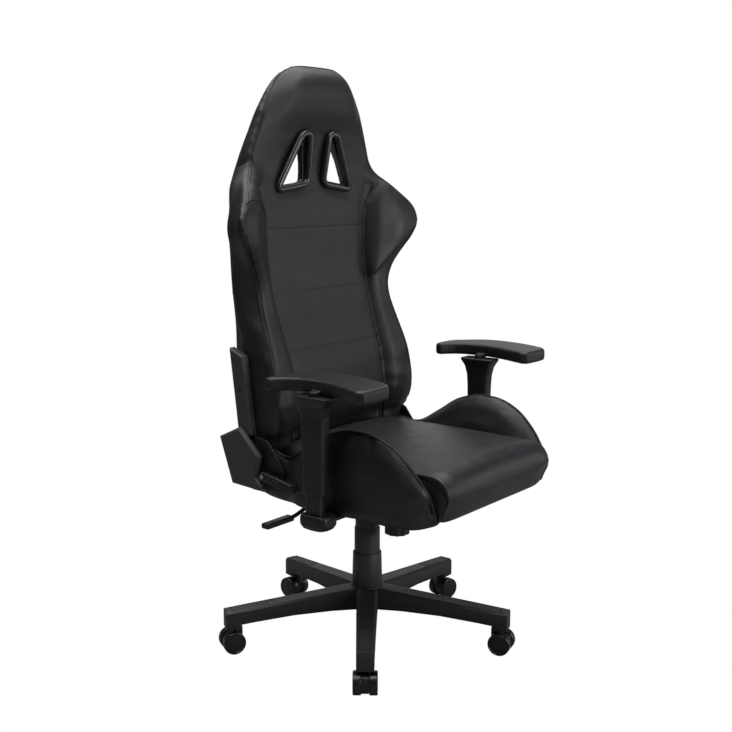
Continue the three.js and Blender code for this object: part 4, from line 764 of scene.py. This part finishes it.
piped_edge = edge_path(0, 0, ((50, 145, 1283), (0, 145, 1284), (-50, 145, 1283)))
cord_along("back_edge_piping", settle(back, piped_edge, 0.2), 1.2, shaded_piping_leather, "back",
           sides=3)
sewn_edge = edge_path(8, 1, ((46, 141, 1275), (0, 141, 1276), (-46, 141, 1275)))
cord_along("back_edge_stitching", settle(back, sewn_edge, 0.0), 0.6, thread, "back")
for side_name, side in SIDES:
    rows = [(side * wide, reading(PANEL_FACE, up), up) for up, wide in PANEL_SIDE]
    if side < 0:
        rows = [row for row in rows if row[2] < 900] + list(NEAR_FOLD[::-1])
    else:
        rows = [row for row in rows if row[2] < PANEL_TOP]
    seam_path = smooth_path([at(*row) for row in rows], 6)
    cord_along(f"back_panel_seam_{side_name}", settle(back, seam_path, -0.1), 1.1, thread, "back")
# The far shoulder seam's cord is in the darker piping leather: painted shade along the fold
cord_along("back_shoulder_seam", settle(back, far_fold, -0.2), 0.7, shaded_piping_leather, "back")
for (side_name, _), path in zip(SIDES, neck_folds):
    cord_along(f"back_neck_seam_{side_name}", settle(back, path[:-6], 0.0), 0.7, thread, "back")

# Bezels of the harness holes: a lining, and a round rim whose corners are sideways and up in millimetres

RIM = ((60, 1137), (127, 1014), (26, 1028), (33, 1138))
RIM_ROUND = (13, 17, 18, 13)
RIM_FRONT = 148
RIM_FOOT = 1027
RIM_LEAN = 0.145
ROUND_STEPS = 6
for side_name, side in SIDES:
    node = f"harness_bezel_{side_name}"
    lining = copy_of(f"bezel_lining_{side_name}", node)
    soften(lining, 1.5, 4)
    reshape(lining, hole_flare)
    finish_piece(lining, gloss_plastic, "back", replaced=[node])
    corners = [Vector((side * wide, 0, up)) for wide, up in RIM]
    rim = []
    for i, corner in enumerate(corners):
        to_last = (corners[i - 1] - corner).normalized() * RIM_ROUND[i]
        to_next = (corners[(i + 1) % 4] - corner).normalized() * RIM_ROUND[i]
        for number in range(ROUND_STEPS + 1):
            t = number / ROUND_STEPS
            rim.append(corner + to_last * (1 - t) ** 2 + to_next * t * t)
    rim = [at(p.x, RIM_FRONT - RIM_LEAN * (p.z - RIM_FOOT), p.z) for p in rim]
    cord_along(f"bezel_rim_{side_name}", rim, 8.0, gloss_plastic, "back", sides=6, closed=True)

# Arm pads, their edges rolled, and the moulded sleeves and boots with eased edges

for side_name, _ in SIDES:
    pad = copy_of(f"arm_pad_skin_{side_name}", f"arm_pad_{side_name}")
    soften(pad, 2.2, 5)
    finish_piece(pad, pad_skin, f"pad_{side_name}", replaced=[f"arm_pad_{side_name}"])
    sleeve = copy_of(f"arm_sleeve_moulding_{side_name}", f"arm_sleeve_{side_name}")
    soften(sleeve, 1.6, 4)
    finish_piece(sleeve, housing_plastic, f"arm_{side_name}",
                 replaced=[f"arm_sleeve_{side_name}"])
    boot = copy_of(f"arm_boot_moulding_{side_name}", f"arm_boot_{side_name}")
    soften(boot, 1.4, 6)
    finish_piece(boot, housing_plastic, "seat", replaced=[f"arm_boot_{side_name}"])

# Hard covers, levers and base: the radius of each one's moulded edges, and how much deeper a hinge cover's
# rear half is

EASED = (
    ("upright_cover_left", 1.6, bracket_plastic, 3),
    ("upright_cover_right", 1.6, bracket_plastic, 3),
    ("recline_cover_left", 2.4, bracket_plastic, 6),
    ("recline_cover_right", 2.4, bracket_plastic, 6),
    ("recline_lever", 0.7, None, 0),
    ("star_base", 3.2, None, 0),
    ("seat_frame", 0.8, None, 0),
    ("lever_grip", 1.2, None, 0),
    ("arm_trigger_left", 0.8, trigger_plastic, 0),
    ("arm_trigger_right", 0.8, trigger_plastic, 0),
)
for node, width, material, deeper in EASED:
    moulding = eased(f"{node}_moulding", node, width, material)
    if deeper:
        low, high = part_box(node)
        middle, rear = ((value - axis_place.y) / MM for value in ((low.y + high.y) / 2, high.y))
        reshape(moulding, lambda place, normal: Vector((0, deeper * step(place.y, middle, rear), 0)))

# Column covers turned round, each a thin tube: radius at the foot and the top, wall, and how far its lip
# stands over its solid

COLUMN_STAGES = (
    ("cover_lower", 34.5, 32.5, 1.6, 8),
    ("cover_middle", 29.3, 28.9, 1.6, 0),
    ("cover_upper", 26.9, 26.9, 1.2, 0),
)
for node, foot_radius, top_radius, wall, lip in COLUMN_STAGES:
    low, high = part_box(node)
    height = high.z - low.z + lip * MM
    bpy.ops.object.select_all(action="DESELECT")
    bpy.ops.mesh.primitive_cone_add(vertices=96, radius1=foot_radius * MM, radius2=top_radius * MM,
                                    depth=height, end_fill_type="NOTHING")
    tube = bpy.context.active_object
    tube.name = f"{node}_moulding"
    bpy.ops.object.mode_set(mode="EDIT")
    bpy.ops.mesh.select_all(action="SELECT")
    bpy.ops.transform.translate(value=(axis_place.x, axis_place.y, low.z + height / 2))
    bpy.ops.object.mode_set(mode="OBJECT")
    apply_modifier(tube, "wall", "SOLIDIFY", thickness=wall * MM, offset=-1)
    apply_modifier(tube, "ease", "BEVEL", width=0.5 * MM, segments=2, limit_method="ANGLE")
    finish_piece(tube, column_plastic, HOME[node], smooth_angle=HARD_EDGE,
                 replaced=[node])

# Caster wheels: round treads, and outer faces with a rim, a step down and a dish

CASTERS = range(1, 6)
WHEEL_RIM = 4
WHEEL_STEP = 1.2
DISH_WIDTH = 9
DISH_RISE = 1.4
for number in CASTERS:
    hub_low, hub_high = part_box(f"caster_{number}_body")
    hub = (hub_low + hub_high) / 2
    for side_name in ("a", "b"):
        node = f"caster_{number}_wheel_{side_name}"
        low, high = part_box(node)
        centre = (low + high) / 2
        out = level_way(hub, centre)
        half = max(abs((v.co - centre).dot(out)) for v in nodes[node].data.vertices)
        bpy.ops.object.select_all(action="DESELECT")
        bpy.ops.mesh.primitive_cylinder_add(vertices=72, radius=(high.z - low.z) / 2, depth=2 * half)
        wheel = bpy.context.active_object
        wheel.name = f"{node}_moulding"
        bpy.ops.object.mode_set(mode="EDIT")
        select_top(wheel)
        bpy.ops.mesh.inset(thickness=WHEEL_RIM * MM)
        bpy.ops.mesh.inset(thickness=WHEEL_STEP * MM, depth=-WHEEL_STEP * MM)
        bpy.ops.mesh.inset(thickness=DISH_WIDTH * MM, depth=DISH_RISE * MM)
        bpy.ops.object.mode_set(mode="OBJECT")
        apply_modifier(wheel, "ease", "BEVEL", width=2.2 * MM, segments=3, limit_method="ANGLE",
                       angle_limit=math.radians(60))
        wheel.data.transform(facing(centre, out))
        finish_piece(wheel, wheel_plastic, HOME[node], smooth_angle=HARD_EDGE,
                     replaced=[node])

# Coarse-grained foot pads laid on the legs' ends

PAD_MIDDLE = 273
PAD_LENGTH = 84
PAD_WIDTH = 25
PAD_PROUD = 0.9
PAD_THICK = 1.6
ABOVE_BASE = UP * 0.3
star = bpy.data.objects["star_base_moulding"]
for number in CASTERS:
    low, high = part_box(f"caster_{number}_body")
    outward = level_way(axis_place, (low + high) / 2)
    across = Vector((-outward.y, outward.x, 0))
    bpy.ops.object.select_all(action="DESELECT")
    bpy.ops.mesh.primitive_grid_add(x_subdivisions=24, y_subdivisions=8, size=1)
    tread = bpy.context.active_object
    tread.name = f"leg_foot_pad_{number}"
    for vertex in tread.data.vertices:
        spot = axis_place + outward * (PAD_MIDDLE + PAD_LENGTH * vertex.co.x) * MM
        spot += across * PAD_WIDTH * vertex.co.y * MM
        hit, place, _, _ = star.ray_cast(spot + ABOVE_BASE, -UP)
        vertex.co = place + UP * (PAD_PROUD * MM) if hit else spot
    apply_modifier(tread, "thick", "SOLIDIFY", thickness=PAD_THICK * MM, offset=-1)
    finish_piece(tread, grip_nylon, "base", smooth_angle=HARD_EDGE)


# Screws seen from outside

def screw_head(name, place, out, radius, body, material):
    """A round head with a socket let into it"""
    bpy.ops.object.select_all(action="DESELECT")
    bpy.ops.mesh.primitive_cylinder_add(vertices=32, radius=radius * MM, depth=2 * MM)
    head = bpy.context.active_object
    head.name = name
    bpy.ops.object.mode_set(mode="EDIT")
    select_top(head)
    bpy.ops.mesh.inset(thickness=radius * 0.45 * MM)
    bpy.ops.mesh.inset(thickness=0.05 * MM, depth=-1.2 * MM)
    bpy.ops.object.mode_set(mode="OBJECT")
    apply_modifier(head, "ease", "BEVEL", width=0.3 * MM, segments=2, limit_method="ANGLE")
    head.data.transform(facing(place, out))
    finish_piece(head, material, body, smooth_angle=HARD_EDGE)


for side_name, side in SIDES:
    screw_head(f"upright_screw_{side_name}", at(side * 264.3, 137, 596), Vector((side, 0, 0)), 4,
               "back", black_steel)
screw_head("recline_lever_screw", at(-274.2, 70, 420), Vector((-1, 0, 0)), 4.5, "recline_release",
           bright_steel)

# Floor and backdrop, which aren't part of the chair: white to the camera, dim to the chair

FLOOR_GREY = (0.25, 0.25, 0.25, 1)
WHITE = (1, 1, 1, 1)
ROOM_LIGHT = 0.085
bpy.ops.mesh.primitive_plane_add(size=60, location=(0, 0, 0))
floor = bpy.context.active_object
floor.name = "floor"
floor_paint, floor_tree, _ = new_finish("pale_floor")
seen = add_node(floor_tree, "ShaderNodeLightPath")
matte = add_node(floor_tree, "ShaderNodeBsdfDiffuse", Color=FLOOR_GREY)
glow = add_node(floor_tree, "ShaderNodeEmission", Color=WHITE, Strength=1.0)
pale = add_node(floor_tree, "ShaderNodeMixShader", i0=seen.outputs["Is Camera Ray"], i1=matte.outputs[0],
                i2=glow.outputs[0])
add_node(floor_tree, "ShaderNodeOutputMaterial", Surface=pale.outputs[0])
floor.data.materials.append(floor_paint)

world = bpy.data.worlds.new("studio")
world.use_nodes = True
bpy.context.scene.world = world
sky = world.node_tree
sky.nodes.clear()
rays = add_node(sky, "ShaderNodeLightPath")
straight = add_node(sky, "ShaderNodeMath", {"operation": "MAXIMUM"}, i0=rays.outputs["Is Camera Ray"],
                    i1=rays.outputs["Is Transmission Ray"])
dim = add_node(sky, "ShaderNodeBackground", Color=WHITE, Strength=ROOM_LIGHT)
white = add_node(sky, "ShaderNodeBackground", Color=WHITE, Strength=1.0)
air = add_node(sky, "ShaderNodeMixShader", i0=straight.outputs[0], i1=dim.outputs[0], i2=white.outputs[0])
add_node(sky, "ShaderNodeOutputWorld", Surface=air.outputs[0])
bpy.context.scene.view_settings.view_transform = "Standard"
